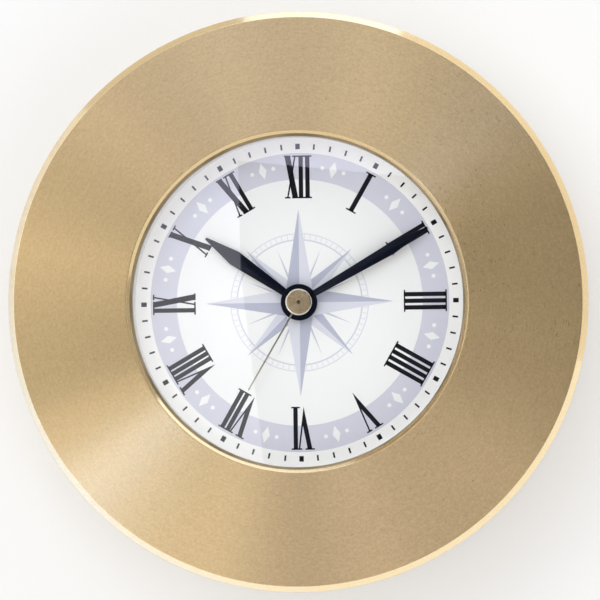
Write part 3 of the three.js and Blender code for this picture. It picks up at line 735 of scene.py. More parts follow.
@dataclass(frozen=True)
class Fitting:
    """What a piece rides on, its slot and the CAD nodes that it stands for."""

    body: Body
    slot: Slot
    nodes: tuple[str, ...] = ()

    def piece(self, name: str, mesh: bpy.types.Mesh, *finishes: Finish) -> bpy.types.Object:
        """Args:
            name: The piece's name.
            mesh: Its mesh, in place.
            finishes: Its materials, in slot order.

        Returns:
            The new piece.
        """
        made = made_object(name, mesh, *finishes)
        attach(made, self.body.value)
        if self.nodes:
            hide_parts(*self.nodes)
        LOG.info("%s: %d faces on %s", name, len(mesh.polygons), self.body.value)
        return made


@dataclass(frozen=True)
class Corner:
    """A corner of a turned profile, its rounding, and the material of the face that starts there."""

    r: float
    z: float
    rounding: float = 0.0
    finish: int = 0


def flat_ring(inner: float, outer: float, low: float, high: float, *edges: float) -> list[Corner]:
    """The square profile of a ring, with the rounding of its lower and upper edges.

    Args:
        inner: Inner radius.
        outer: Outer radius.
        low: Height of the lower face.
        high: Height of the upper face.
        edges: Rounding of the lower and the upper edges, none where left out.

    Returns:
        The closed profile.
    """
    lower, upper = edges or (0.0, 0.0)
    foot = [Corner(inner, low, lower), Corner(outer, low, lower)]
    return [*foot, Corner(outer, high, upper), Corner(inner, high, upper)]


@dataclass(frozen=True)
class Lathe:
    """Turns closed profiles about the Z axis."""

    segments: int = 256
    arc_steps: int = 5
    hold: float = 0.4

    def profile(self, corners: Sequence[Corner]) -> list[Corner]:
        """Rounds the corners of a closed profile, with a short flat held on each side.

        Args:
            corners: The closed profile.

        Returns:
            The profile with its arcs and flats.
        """
        points: list[Corner] = []
        for before, corner, after in zip([corners[-1], *corners[:-1]], corners, [*corners[1:], corners[0]]):
            if corner.rounding <= 0:
                points.append(corner)
                continue
            here = Vector((corner.r, corner.z))
            back = (Vector((before.r, before.z)) - here).normalized()
            ahead = (Vector((after.r, after.z)) - here).normalized()
            half = back.angle(ahead) / 2
            tangent = corner.rounding / math.tan(half)
            middle = here + (back + ahead).normalized() * (corner.rounding / math.sin(half))
            start = here + back * tangent
            end = here + ahead * tangent
            flat = corner.rounding * self.hold
            points.append(Corner(*(start + back * flat), finish=before.finish))
            for step in range(self.arc_steps + 1):
                spoke = (start - middle).lerp(end - middle, step / self.arc_steps)
                place = middle + spoke.normalized() * corner.rounding
                last = step == self.arc_steps
                points.append(Corner(place.x, place.y, finish=corner.finish if last else before.finish))
            points.append(Corner(*(end + ahead * flat), finish=corner.finish))
        return points

    def mesh(self, corners: Sequence[Corner]) -> bpy.types.Mesh:
        """Turns a body.

        Args:
            corners: The closed profile, in millimetres.

        Returns:
            The smooth mesh.
        """
        bm = bmesh.new()
        points = self.profile(corners)
        rings: list[list[bmesh.types.BMVert]] = []
        for point in points:
            spokes = circle(point.r, self.segments) if point.r >= 1e-6 else [(0.0, 0.0)]
            rings.append([bm.verts.new((x * MM, y * MM, point.z * MM)) for x, y in spokes])
        for point, ring, after in zip(points, rings, [*rings[1:], rings[0]]):
            if len(ring) == 1 and len(after) == 1:
                continue
            for k in range(self.segments):
                following = (k + 1) % self.segments
                loop = [ring[k % len(ring)], ring[following % len(ring)]]
                loop += [after[following % len(after)], after[k % len(after)]]
                face = bm.faces.new(list(dict.fromkeys(loop)))
                face.material_index = point.finish
        bmesh.ops.recalc_face_normals(bm, faces=bm.faces[:])
        return mesh_from(bm)


def add_prism(bm: bmesh.types.BMesh, outline: Outline, bottom: float, top: float) -> None:
    """Adds an upright prism to a mesh.

    Args:
        bm: The mesh to fill.
        outline: The plan, in millimetres.
        bottom: Height of the underside.
        top: Height of the upper side.
    """
    low, high = ([bm.verts.new((x * MM, y * MM, z * MM)) for x, y in outline] for z in (bottom, top))
    faces = [bm.faces.new(list(reversed(low))), bm.faces.new(high)]
    for k in range(len(outline)):
        after = (k + 1) % len(outline)
        faces.append(bm.faces.new((low[k], low[after], high[after], high[k])))
    bmesh.ops.recalc_face_normals(bm, faces=faces)


def prisms(outlines: Iterable[Outline], bottom: float, top: float) -> bpy.types.Mesh:
    """A mesh of upright prisms between two heights.

    Args:
        outlines: The prisms' outlines.
        bottom: Lower height.
        top: Upper height.

    Returns:
        The new mesh.
    """
    bm = bmesh.new()
    for outline in outlines:
        add_prism(bm, outline, bottom, top)
    return mesh_from(bm)


def joined(*meshes: bpy.types.Mesh) -> bpy.types.Mesh:
    """Puts several meshes, which are removed, into one.

    Args:
        meshes: The meshes, in order.

    Returns:
        The new mesh.
    """
    bm = bmesh.new()
    for mesh in meshes:
        bm.from_mesh(mesh)
        bpy.data.meshes.remove(mesh)
    return mesh_from(bm)


def modified(
    mesh: bpy.types.Mesh, kind: str, settings: dict[str, Any], values: dict[str, Any]
) -> bpy.types.Mesh:
    """Runs one modifier on a mesh.

    Args:
        mesh: The mesh that goes in, which is removed.
        kind: The modifier's type.
        settings: Its properties.
        values: Its named inputs, by socket identifier.

    Returns:
        The evaluated mesh, with no modifier left.
    """
    holder = bpy.data.objects.new("modified", mesh)
    bpy.context.scene.collection.objects.link(holder)
    modifier = holder.modifiers.new("modifier", kind)
    for key, value in settings.items():
        setattr(modifier, key, value)
    for key, value in values.items():
        modifier[key] = value
    graph = bpy.context.evaluated_depsgraph_get()
    result = bpy.data.meshes.new_from_object(holder.evaluated_get(graph))
    holder.modifiers.remove(modifier)
    bpy.data.objects.remove(holder)
    bpy.data.meshes.remove(mesh)
    return result


def carved(body: bpy.types.Mesh, tool: bpy.types.Mesh) -> bpy.types.Mesh:
    """Cuts one closed mesh out of another; both are removed.

    Args:
        body: The mesh that is cut.
        tool: The mesh that is taken away.

    Returns:
        What is left of the body.
    """
    cutter = bpy.data.objects.new("cutter", tool)
    bpy.context.scene.collection.objects.link(cutter)
    settings = {"operation": "DIFFERENCE", "solver": "EXACT", "object": cutter}
    result = modified(body, "BOOLEAN", settings, {})
    bpy.data.objects.remove(cutter)
    bpy.data.meshes.remove(tool)
    return smoothed(result)


class GeometryTree(Graph):
    """A Geometry Nodes tree with named inputs, whose result becomes a plain mesh."""

    def __init__(self, name: str, sizes: dict[str, str]) -> None:
        """Makes the tree's interface.

        Args:
            name: The tree's name.
            sizes: Names of the inputs and their kinds.
        """
        super().__init__(bpy.data.node_groups.new(name, "GeometryNodeTree"))
        face = self.tree.interface
        face.new_socket("Geometry", in_out="INPUT", socket_type="NodeSocketGeometry")
        self.keys: dict[str, str] = {}
        for key, kind in {**sizes, "Material": "Material"}.items():
            self.keys[key] = face.new_socket(key, in_out="INPUT", socket_type=f"NodeSocket{kind}").identifier
        face.new_socket("Geometry", in_out="OUTPUT", socket_type="NodeSocketGeometry")
        self.inlet = self.tree.nodes.new("NodeGroupInput")

    def given(self, name: str) -> Sock:
        """One of the tree's inputs."""
        return Sock(self, self.inlet.outputs[name])

    def close(self, geometry: Sock) -> None:
        """Ends the tree in real geometry with its material.

        Args:
            geometry: What the tree has made.
        """
        real = self.node("GeometryNodeRealizeInstances", None, {"Geometry": geometry})
        inputs = {"Geometry": real, "Material": self.given("Material")}
        self.node("NodeGroupOutput", None, {0: self.node("GeometryNodeSetMaterial", None, inputs)})

    def run(self, mesh: bpy.types.Mesh, finish: Finish, values: dict[str, Any]) -> bpy.types.Mesh:
        """Runs the tree on a mesh.

        Args:
            mesh: The geometry that goes in, which is removed.
            finish: The finish of what comes out.
            values: The other named inputs.

        Returns:
            The mesh that comes out.
        """
        given = {self.keys[key]: value for key, value in values.items()}
        given[self.keys["Material"]] = finish.material()
        return modified(mesh, "NODES", {"node_group": self.tree}, given)


class RadialArray(GeometryTree):
    """Copies a shape round the Z axis, clockwise from twelve, with places left out."""

    def __init__(self) -> None:
        """Builds the tree."""
        super().__init__("radial_array", {"Count": "Int", "Start": "Float", "Skip": "Int"})
        index = self.node("GeometryNodeInputIndex")
        skip = self.given("Skip")
        kept = (index % skip > 0.5) + (skip < 0.5)
        angle = (self.given("Start") + index * math.tau / self.given("Count")) * -1.0
        turn = self.node("ShaderNodeCombineXYZ", None, {2: angle})
        inputs = {
            "Points": self.node("GeometryNodePoints", None, {"Count": self.given("Count")}),
            "Selection": kept,
            "Instance": self.given("Geometry"),
            "Rotation": self.node("FunctionNodeEulerToRotation", None, {0: turn}),
        }
        self.close(self.node("GeometryNodeInstanceOnPoints", None, inputs))

    def copies(
        self, shape: bpy.types.Mesh, finish: Finish, count: int, start: float = 0.0, skip: int = 0
    ) -> bpy.types.Mesh:
        """Repeats a shape, which is removed, clockwise from a start; places that skip divides stay empty."""
        values = {"Count": count, "Start": math.radians(start), "Skip": skip}
        return smoothed(self.run(shape, finish, values))


class FeltNap(GeometryTree):
    """Scatters short bent fibres over the upright sides of a felt."""

    def __init__(self) -> None:
        """Builds the tree."""
        sizes = {"Density": "Float", "Length": "Float", "Thickness": "Float", "Seed": "Int"}
        super().__init__("felt_nap", sizes)
        normal = self.node("GeometryNodeInputNormal")
        rise = self.axes(normal)[2]
        scatter = {
            "Mesh": self.given("Geometry"),
            "Selection": rise.math("ABSOLUTE", rise) < 0.35,
            "Density": self.given("Density"),
            "Seed": self.given("Seed"),
        }
        points = self.node("GeometryNodeDistributePointsOnFaces", None, scatter, "Points")
        length = self.given("Length")
        arc_points = {
            "Resolution": 3,
            "Start": self.node("ShaderNodeCombineXYZ", None, {2: length * -0.3}),
            "Middle": self.node("ShaderNodeCombineXYZ", None, {0: length * 0.18, 2: length * 0.35}),
            "End": self.node("ShaderNodeCombineXYZ", None, {0: length * -0.2, 1: length * 0.15, 2: length}),
        }
        bend = self.node("GeometryNodeCurveQuadraticBezier", None, arc_points)
        round_section = {"Resolution": 3, "Radius": self.given("Thickness")}
        section = self.node("GeometryNodeCurvePrimitiveCircle", None, round_section)
        fibre = self.node("GeometryNodeCurveToMesh", None, {"Curve": bend, "Profile Curve": section})
        leans = {0: (-1.0, -1.0, 0.0), 1: (1.0, 1.0, math.tau), "Seed": self.given("Seed")}
        lean = self.node("FunctionNodeRandomValue", {"data_type": "FLOAT_VECTOR"}, leans)
        size = self.node("FunctionNodeRandomValue", {"data_type": "FLOAT"}, {2: 0.5, 3: 1.1}, 1)
        out = self.node("FunctionNodeAlignEulerToVector", {"axis": "Z"}, {"Vector": normal})
        tilt = self.node("FunctionNodeRotateEuler", {"space": "LOCAL"}, {0: out, 1: lean})
        inputs = {"Points": points, "Instance": fibre, "Rotation": tilt, "Scale": size}
        self.close(self.node("GeometryNodeInstanceOnPoints", None, inputs))


@dataclass
class BrassWeight:
    """The turned brass body."""

    radius: float = 50.8
    bottom: float = 1.5
    top: float = 26.9
    rim_chamfer: float = 1.07
    foot_chamfer: float = 0.8
    aperture: float = 29.0
    aperture_chamfer: float = 0.96
    lip_chamfer: float = 0.54
    lip_foot: float = 25.2
    lip_bottom: float = 24.7
    bore: float = 31.8
    counterbore: float = 37.9
    counterbore_top: float = 6.5
    edge: float = 0.07
    mouth_edge: float = 0.2
    lip_edge: float = 0.12
    lip_foot_edge: float = 0.1

    def build(self, lathe: Lathe) -> None:
        """Turns the brass.

        Args:
            lathe: The lathe to use.
        """
        face, bright, wall, bare, lip = range(5)
        mouth = self.aperture + self.aperture_chamfer
        corners = [
            Corner(self.counterbore, self.bottom, self.edge, bare),
            Corner(self.radius - self.foot_chamfer, self.bottom, self.edge, bright),
            Corner(self.radius, self.bottom + self.foot_chamfer, self.edge, wall),
            Corner(self.radius, self.top - self.rim_chamfer, self.edge, bright),
            Corner(self.radius - self.rim_chamfer, self.top, self.edge, face),
            Corner(mouth, self.top, self.mouth_edge, bright),
            # The steep cone below the mouth's chamfer takes the darkened lip brass, which is painted shade.
            Corner(mouth - self.lip_chamfer, self.top - self.lip_chamfer, self.lip_edge, lip),
            Corner(self.aperture, self.lip_foot, self.lip_foot_edge, lip),
            Corner(self.aperture, self.lip_bottom, self.edge, bare),
            Corner(self.bore, self.lip_bottom, 0.0, bare),
            Corner(self.bore, self.counterbore_top, 0.0, bare),
            Corner(self.counterbore, self.counterbore_top, 0.0, bare),
        ]
        finishes = (SATIN_BRASS, BRIGHT_BRASS, WALL_BRASS, BARE_BRASS, LIP_BRASS_PAINTED_SHADE)
        fitting = Fitting(Body.WEIGHT, Slot.BRASS_SATIN, ("weight_body",))
        fitting.piece("brass_weight", lathe.mesh(corners), *finishes)


@dataclass
class FeltBase:
    """The felt ring glued under the brass, with its nap."""

    inner: float = 38.9
    outer: float = 49.5
    thickness: float = 1.5
    lower_edge: float = 0.3
    upper_edge: float = 0.1
    nap_length: float = 0.35
    nap_radius: float = 0.012
    nap_margin: float = 0.02
    nap_density: float = 5.0e6
    nap_seed: int = 7

    def build(self, lathe: Lathe, nap: FeltNap) -> None:
        """Cuts the felt and raises its nap.

        Args:
            lathe: The lathe to use.
            nap: The tree that scatters fibres.
        """
        edges = (self.lower_edge, self.upper_edge)
        mesh = lathe.mesh(flat_ring(self.inner, self.outer, 0.0, self.thickness, *edges))
        values = {
            "Density": self.nap_density,
            "Length": self.nap_length * MM,
            "Thickness": self.nap_radius * MM,
            "Seed": self.nap_seed,
        }
        fibres = nap.run(mesh.copy(), FELT_GREEN, values)
        for vertex in fibres.vertices:
            vertex.co.z = min(max(vertex.co.z, self.nap_margin * MM), (self.thickness - self.nap_margin) * MM)
        ring = Fitting(Body.WEIGHT, Slot.FELT, ("base_pad",)).piece("felt_ring", mesh, FELT_GREEN)
        fuzz = Fitting(Body.WEIGHT, Slot.FELT).piece("felt_nap", smoothed(fibres), FELT_GREEN)


@dataclass
class CrystalStack:
    """The crystal and the white spacer under it."""

    radius: float = 31.7
    bottom: float = 22.2
    top: float = 24.2
    bevel: float = 0.3
    foot_edge: float = 0.12
    bevel_edge: float = 0.05
    spacer_inner: float = 29.2
    spacer_bottom: float = 18.5
    spacer_play: float = 0.01
    spacer_edges: tuple[float, float] = (0.1, 0.15)

    def build(self, lathe: Lathe) -> None:
        """Makes the crystal and the spacer.

        Args:
            lathe: Turns the profiles.
        """
        glass = [
            Corner(0.0, self.bottom),
            Corner(self.radius, self.bottom, self.foot_edge),
            Corner(self.radius, self.top - self.bevel, self.bevel_edge),
            Corner(self.radius - self.bevel, self.top, self.bevel_edge),
            Corner(0.0, self.top),
        ]
        fitting = Fitting(Body.WEIGHT, Slot.CRYSTAL, ("crystal",))
        fitting.piece("crystal_glass", lathe.mesh(glass), CLEAR_CRYSTAL)
        spacer_top = self.bottom - self.spacer_play
        wall = [
            Corner(self.spacer_inner, self.spacer_bottom),
            Corner(self.radius, self.spacer_bottom),
            Corner(self.radius, spacer_top, self.spacer_edges[0]),
            Corner(self.spacer_inner, spacer_top, self.spacer_edges[1]),
        ]
        # The spacer's grey moulding is painted shade.
        fitting = Fitting(Body.WEIGHT, Slot.WHITE_PLASTIC, ("dial_spacer",))
        fitting.piece("spacer_ring", lathe.mesh(wall), SPACER_PAINTED_SHADE)


@dataclass(frozen=True)
class NumeralStyle:
    """Sizes of the condensed Roman numerals, in millimetres, and shares of them."""

    inner: float = 18.45
    outer: float = 26.05
    stem: float = 0.77
    hair: float = 0.26
    thin: float = 0.273
    pitch: float = 1.17
    overhang: float = 0.18
    lone_overhang: float = 0.38
    lone_stem: float = 0.847
    arm: float = 0.96
    v_width: float = 1.95
    v_stem: float = 0.8162
    v_point: float = 0.12
    x_width: float = 2.2
    x_stem: float = 1.001
    x_reach: float = 0.6912
    serif: float = 0.44
    narrow: float = 0.8
    crowding: float = 0.9
    crowd_shift: float = 0.3

    def bar(self, low: float, high: float, width: float) -> Outline:
        """A stroke with level ends, between its middles at the inner and the outer end.

        Args:
            low: The stroke's middle at the inner end.
            high: Its middle at the outer end.
            width: Its width.

        Returns:
            The stroke's outline.
        """
        half = width / 2
        foot = [(low - half, self.inner), (low + half, self.inner)]
        return [*foot, (high + half, self.outer), (high - half, self.outer)]

    def wedge(self, x: float, left: float, right: float) -> list[Outline]:
        """A thick and a thin arm that run together in a sharp point.

        Args:
            x: Where the arms meet, at the inner end.
            left: The thick arm's outer side, at the outer end.
            right: The thin arm's outer side, at the outer end.

        Returns:
            Outlines of the two arms.
        """
        low, high = self.inner, self.outer
        share = (self.v_stem + self.thin) / (right - left)
        crotch = (x + (left - x) * share + self.v_stem, low + (high - low) * share)
        return [
            [(x, low), crotch, (left + self.v_stem, high), (left, high)],
            [(x, low), (right, high), (right - self.thin, high), crotch],
        ]

    def level(self, centre: float, width: float, top: bool) -> Outline:
        """A hairline serif at the outer or the inner end."""
        middle = self.outer - self.hair / 2 if top else self.inner + self.hair / 2
        return [(x + centre, y) for x, y in rectangle(width, self.hair, middle)]

    def strokes(self, letter: Letter, centre: float, lone: bool) -> list[Outline]:
        """The outlines of one letter.

        Args:
            letter: The letter.
            centre: Its middle across the numeral.
            lone: True for a numeral of this letter alone.

        Returns:
            Outlines of its strokes and serifs.
        """
        if letter is Letter.I:
            width = self.pitch + 2 * (self.lone_overhang if lone else self.overhang)
            stem = self.bar(centre, centre, self.lone_stem if lone else self.stem)
            return [stem, self.level(centre, width, True), self.level(centre, width, False)]
        if letter is Letter.V:
            left, right = centre - self.arm, centre + self.arm
            return [
                *self.wedge(centre + self.v_point, left - self.v_stem / 2, right + self.thin / 2),
                self.level(left, self.stem + 2 * self.serif, True),
                self.level(right, self.thin + 1.8 * self.serif, True),
            ]
        left, right = centre - self.x_reach, centre + self.x_reach
        wide = self.stem + self.serif
        narrow = wide * self.narrow
        return [
            self.bar(right, left, self.x_stem),
            self.bar(left, right, self.thin),
            self.level(left, wide, True),
            self.level(right, narrow, True),
            self.level(left, narrow, False),
            self.level(right, wide, False),
        ]

    def outlines(self, text: str) -> list[Outline]:
        """The outlines of a numeral at twelve o'clock, its top outwards.

        Args:
            text: The numeral's letters.

        Returns:
            The outlines of all its strokes.
        """
        advance = {Letter.I: self.pitch, Letter.V: self.v_width, Letter.X: self.x_width}
        letters = [Letter(sign) for sign in text]
        widths = [advance[letter] for letter in letters]
        shift = 0.0
        if letters[0] is Letter.V and len(letters) > 2:
            widths[1:] = [width * self.crowding for width in widths[1:]]
            shift = self.crowd_shift
        place = -sum(widths) / 2 - shift
        made: list[Outline] = []
        for letter, width in zip(letters, widths):
            made += self.strokes(letter, place + width / 2, len(letters) == 1)
            place += width
        return made


@dataclass(frozen=True)
class RosePoints:
    """One rank of the compass rose: reach and waist as shares, and its place round the dial."""

    reach: float
    waist: float
    count: int
    start: float
    notch: float
    level: int


@dataclass
class DialFace:
    """The white dial plate and its printing."""

    radius: float = 31.7
    hole: float = 2.52
    bottom: float = 18.0
    top: float = 18.5
    edge: float = 0.05
    hole_edge: float = 0.08
    film: float = 0.012
    band: tuple[float, float] = (21.8, 26.48)
    track: float = 27.65
    mark: tuple[float, float] = (0.32, 1.0)
    block: tuple[float, float] = (0.78, 0.98)
    lozenge: tuple[float, float] = (1.5, 0.72)
    dot: float = 0.36
    dot_sides: int = 20
    dot_turn: float = 4.6
    rose: float = 16.6
    rose_ranks: tuple[RosePoints, ...] = (
        RosePoints(0.62, 0.16, 8, 22.5, 11.25, 0),
        RosePoints(0.8, 0.19, 4, 45.0, 45.0, 1),
        RosePoints(1.0, 0.2, 4, 0.0, 45.0, 2),
    )
    rose_rings: tuple[tuple[float, float], ...] = ((0.66, 0.675), (0.73, 0.738))
    rose_tick: tuple[float, float, float] = (0.1, 0.045, 0.702)
    rose_ticks: int = 72
    style: NumeralStyle = field(default_factory=NumeralStyle)
    hours: tuple[str, ...] = ("XII", "I", "II", "III", "IIII", "V", "VI", "VII", "VIII", "IX", "X", "XI")

    def layer(self, level: int) -> tuple[float, float]:
        """Bottom and top of one printed film over the paint."""
        return (self.top + level * self.film, self.top + (level + 1) * self.film)

    def printed(self, name: str, mesh: bpy.types.Mesh, ink: Finish) -> None:
        """Lays one printed film on the dial."""
        slot = Slot.HAND_BLACK if ink is INK_BLACK else Slot.DIAL_WHITE
        Fitting(Body.WEIGHT, slot).piece(name, mesh, ink)

    def plate(self, lathe: Lathe) -> None:
        """Makes the plate, whose outer ring is painted lighter than the rest: painted light against the shade
        of the lip.

        Args:
            lathe: Turns the profiles.
        """
        corners = [
            Corner(self.hole, self.bottom, self.edge),
            Corner(self.radius, self.bottom, self.edge),
            # The top face from the rim in to the band takes the lighter paint, which is painted light.
            Corner(self.radius, self.top, self.edge, 1),
            Corner(self.band[1], self.top),
            Corner(self.hole, self.top, self.hole_edge),
        ]
        fitting = Fitting(Body.WEIGHT, Slot.DIAL_WHITE, ("dial",))
        fitting.piece("dial_plate", lathe.mesh(corners), DIAL_PAINT, TRACK_PAINTED_LIGHT)

    def ornament(self, lathe: Lathe, array: RadialArray) -> None:
        """Prints the band, with a lozenge and two dots between each two hours.

        Args:
            lathe: Turns the profiles.
            array: Repeats a shape round the axis.
        """
        self.printed("dial_band", lathe.mesh(flat_ring(*self.band, *self.layer(0))), INK_LAVENDER)
        middle = sum(self.band) / 2
        half, wide = self.lozenge
        lozenge = [(0.0, middle - half), (wide, middle), (0.0, middle + half), (-wide, middle)]
        dot = circle(self.dot, self.dot_sides, (0.0, middle))
        made = []
        for outline, turn in ((lozenge, 0.0), (dot, -self.dot_turn), (dot, self.dot_turn)):
            shape = prisms([outline], *self.layer(1))
            made.append(array.copies(shape, INK_WHITE, HOURS, HOUR_TURN / 2 + turn))
        self.printed("band_lozenges", joined(*made), INK_WHITE)

    def chapter(self, array: RadialArray) -> None:
        """Prints the numerals and the minute track.

        Args:
            array: Repeats a shape round the axis.
        """
        numerals = []
        for hour, text in enumerate(self.hours):
            mesh = prisms(self.style.outlines(text), *self.layer(1))
            mesh.transform(clockwise(HOUR_TURN * hour))
            numerals.append(mesh)
        self.printed("hour_numerals", joined(*numerals), INK_BLACK)
        tracks = (("minute_marks", self.mark, 5 * HOURS, 5), ("hour_marks", self.block, HOURS, 0))
        for name, size, count, skip in tracks:
            shape = prisms([rectangle(*size, self.track)], *self.layer(0))
            self.printed(name, array.copies(shape, INK_BLACK, count, 0.0, skip), INK_BLACK)

    def compass(self, lathe: Lathe, array: RadialArray) -> None:
        """Prints a plain compass rose in the middle.

        Args:
            lathe: Turns the profiles.
            array: Repeats a shape round the axis.
        """
        for name, ink, side in (("rose_deep", INK_DEEP, -1), ("rose_pale", INK_PALE, 1)):
            halves = []
            for rank in self.rose_ranks:
                reach = self.rose * rank.reach
                out, across = spot(reach * rank.waist, rank.notch)
                plan = [(0.0, 0.0), (side * across, out), (0.0, reach)]
                shape = prisms([plan], *self.layer(rank.level))
                halves.append(array.copies(shape, ink, rank.count, rank.start))
            self.printed(name, joined(*halves), ink)
        rings = []
        for inner, outer in self.rose_rings:
            rings.append(lathe.mesh(flat_ring(self.rose * inner, self.rose * outer, *self.layer(0))))
        across, along, middle = self.rose_tick
        tick = prisms([rectangle(across, self.rose * along, self.rose * middle)], *self.layer(0))
        rings.append(array.copies(tick, INK_LAVENDER, self.rose_ticks))
        self.printed("rose_rings", joined(*rings), INK_LAVENDER)

    def build(self, lathe: Lathe, array: RadialArray) -> None:
        """Makes the plate and prints it.

        Args:
            lathe: The lathe to use.
            array: The tree that repeats the marks.
        """
        self.plate(lathe)
        self.ornament(lathe, array)
        self.chapter(array)
        self.compass(lathe, array)


@dataclass(frozen=True)
class HandSize:
    """One lacquered hand: its blade, its place and its angle clockwise from twelve."""

    name: str
    node: str
    body: Body
    length: float
    width: float
    shoulder: float
    bore: float
    bottom: float
    angle: float


def stamped(plan: Outline, low: float, high: float, edge: float, angle: float) -> bpy.types.Mesh:
    """A flat blade with softened edges, its points and faces put in order along a slanting line.

    Args:
        plan: Its outline at twelve o'clock.
        low: Height of the underside.
        high: Height of the upper side.
        edge: Width of the softened edges.
        angle: Its angle clockwise from twelve.

    Returns:
        The blade's mesh.
    """
    bm = bmesh.new()
    add_prism(bm, plan, low, high)
    soft = {"offset": edge * MM, "segments": 2, "profile": 0.5, "affect": "EDGES", "clamp_overlap": True}
    bmesh.ops.bevel(bm, geom=bm.edges[:], **soft)
    bmesh.ops.rotate(bm, verts=bm.verts, cent=(0, 0, 0), matrix=clockwise(angle).to_3x3())
    bm.verts.sort(key=lambda vert: vert.co.dot(SORT_LINE))
    bm.faces.sort(key=lambda face: face.calc_center_median().dot(SORT_LINE))
    return mesh_from(bm, BLADE_SHARP_ANGLE)


@dataclass
class HandSet:
    """The hour, minute and second hands with the cap."""

    hub: float = 3.22
    root: float = 0.95
    tip: float = 0.4
    thickness: float = 0.3
    edge: float = 0.05
    blades: tuple[HandSize, ...] = (
        HandSize("hour_hand_blade", "hour_hand", Body.HOURS, 20.1, 2.72, 13.9, 2.35, 19.2, 305.1),
        HandSize("minute_hand_blade", "minute_hand", Body.MINUTES, 26.2, 2.07, 18.8, 1.43, 20.1, 60.7),
    )
    needle_length: float = 18.0
    needle_width: float = 0.32
    needle_taper: float = 0.85
    needle_point: float = 0.2
    needle_root: float = 0.53
    needle_bottom: float = 20.65
    needle_thickness: float = 0.2
    needle_edge: float = 0.03
    needle_angle: float = 210.6
    cap: float = 2.36
    cap_bottom: float = 20.85
    cap_height: float = 0.8
    cap_edges: tuple[float, float] = (0.12, 0.26)
    cap_bore: float = 0.53
    cap_roof: float = 0.43
    dimple: tuple[float, float] = (0.36, 0.26)
    dimple_edges: tuple[float, float] = (0.05, 0.04)
    dimple_depths: tuple[float, float] = (0.28, 0.3)

    def blade(self, size: HandSize, lathe: Lathe) -> None:
        """Stamps one hand, its edges softened by the lacquer.

        Args:
            size: The hand.
            lathe: The lathe for its hub.
        """
        low, high = size.bottom, size.bottom + self.thickness
        inner = (size.bore + self.hub) / 2
        half, tip = size.width / 2, self.tip / 2
        root = self.root / 2 + (half - self.root / 2) * inner / size.shoulder
        plan = [(root, inner), (half, size.shoulder), (tip, size.length)]
        plan += [(-x, y) for x, y in reversed(plan)]
        blade = stamped(plan, low, high, self.edge, size.angle)
        hub = lathe.mesh(flat_ring(size.bore, self.hub, low, high, self.edge, self.edge))
        mesh = smoothed(joined(blade, hub), BLADE_SHARP_ANGLE)
        Fitting(size.body, Slot.HAND_BLACK, (size.node,)).piece(size.name, mesh, HAND_BLACK)

    def needle(self) -> None:
        """Makes the second hand."""
        half, low = self.needle_width / 2, self.needle_bottom
        side, neck = half * self.needle_taper, self.needle_length - self.needle_point
        plan = [(-half, self.needle_root), (half, self.needle_root)]
        plan += [(side, neck), (0.0, self.needle_length), (-side, neck)]
        mesh = stamped(plan, low, low + self.needle_thickness, self.needle_edge, self.needle_angle)
        fitting = Fitting(Body.SECONDS, Slot.BRASS_POLISHED, ("second_hand",))
        fitting.piece("second_hand_needle", mesh, NEEDLE_GILT)

    def cap_button(self, lathe: Lathe) -> None:
        """Turns the cap over the second hand.

        Args:
            lathe: Turns the profiles.
        """
        low, high = self.cap_bottom, self.cap_bottom + self.cap_height
        roof = low + self.cap_roof
        face, rim, hollow = range(3)
        corners = [
            Corner(self.cap_bore, low),
            # The cap's side takes the pale rim finish, which is a painted highlight.
            Corner(self.cap, low, self.cap_edges[0], rim),
            Corner(self.cap, high, self.cap_edges[1], face),
            # The dimple's cone takes the dark finish, which is painted shade.
            Corner(self.dimple[0], high, self.dimple_edges[0], hollow),
            Corner(self.dimple[1], high - self.dimple_depths[0], self.dimple_edges[1], hollow),
            Corner(0.0, high - self.dimple_depths[1]),
            Corner(0.0, roof),
            Corner(self.cap_bore, roof),
        ]
        fitting = Fitting(Body.SECONDS, Slot.BRASS_POLISHED, ("second_hand_cap",))
        fitting.piece("hand_cap", lathe.mesh(corners), CAP_BRASS, CAP_RIM_PAINTED_HIGHLIGHT, CAP_DIMPLE_PAINTED_SHADE)

    def build(self, lathe: Lathe) -> None:
        """Makes the hands.

        Args:
            lathe: The lathe for hubs and cap.
        """
        for size in self.blades:
            self.blade(size, lathe)
        self.needle()
        self.cap_button(lathe)


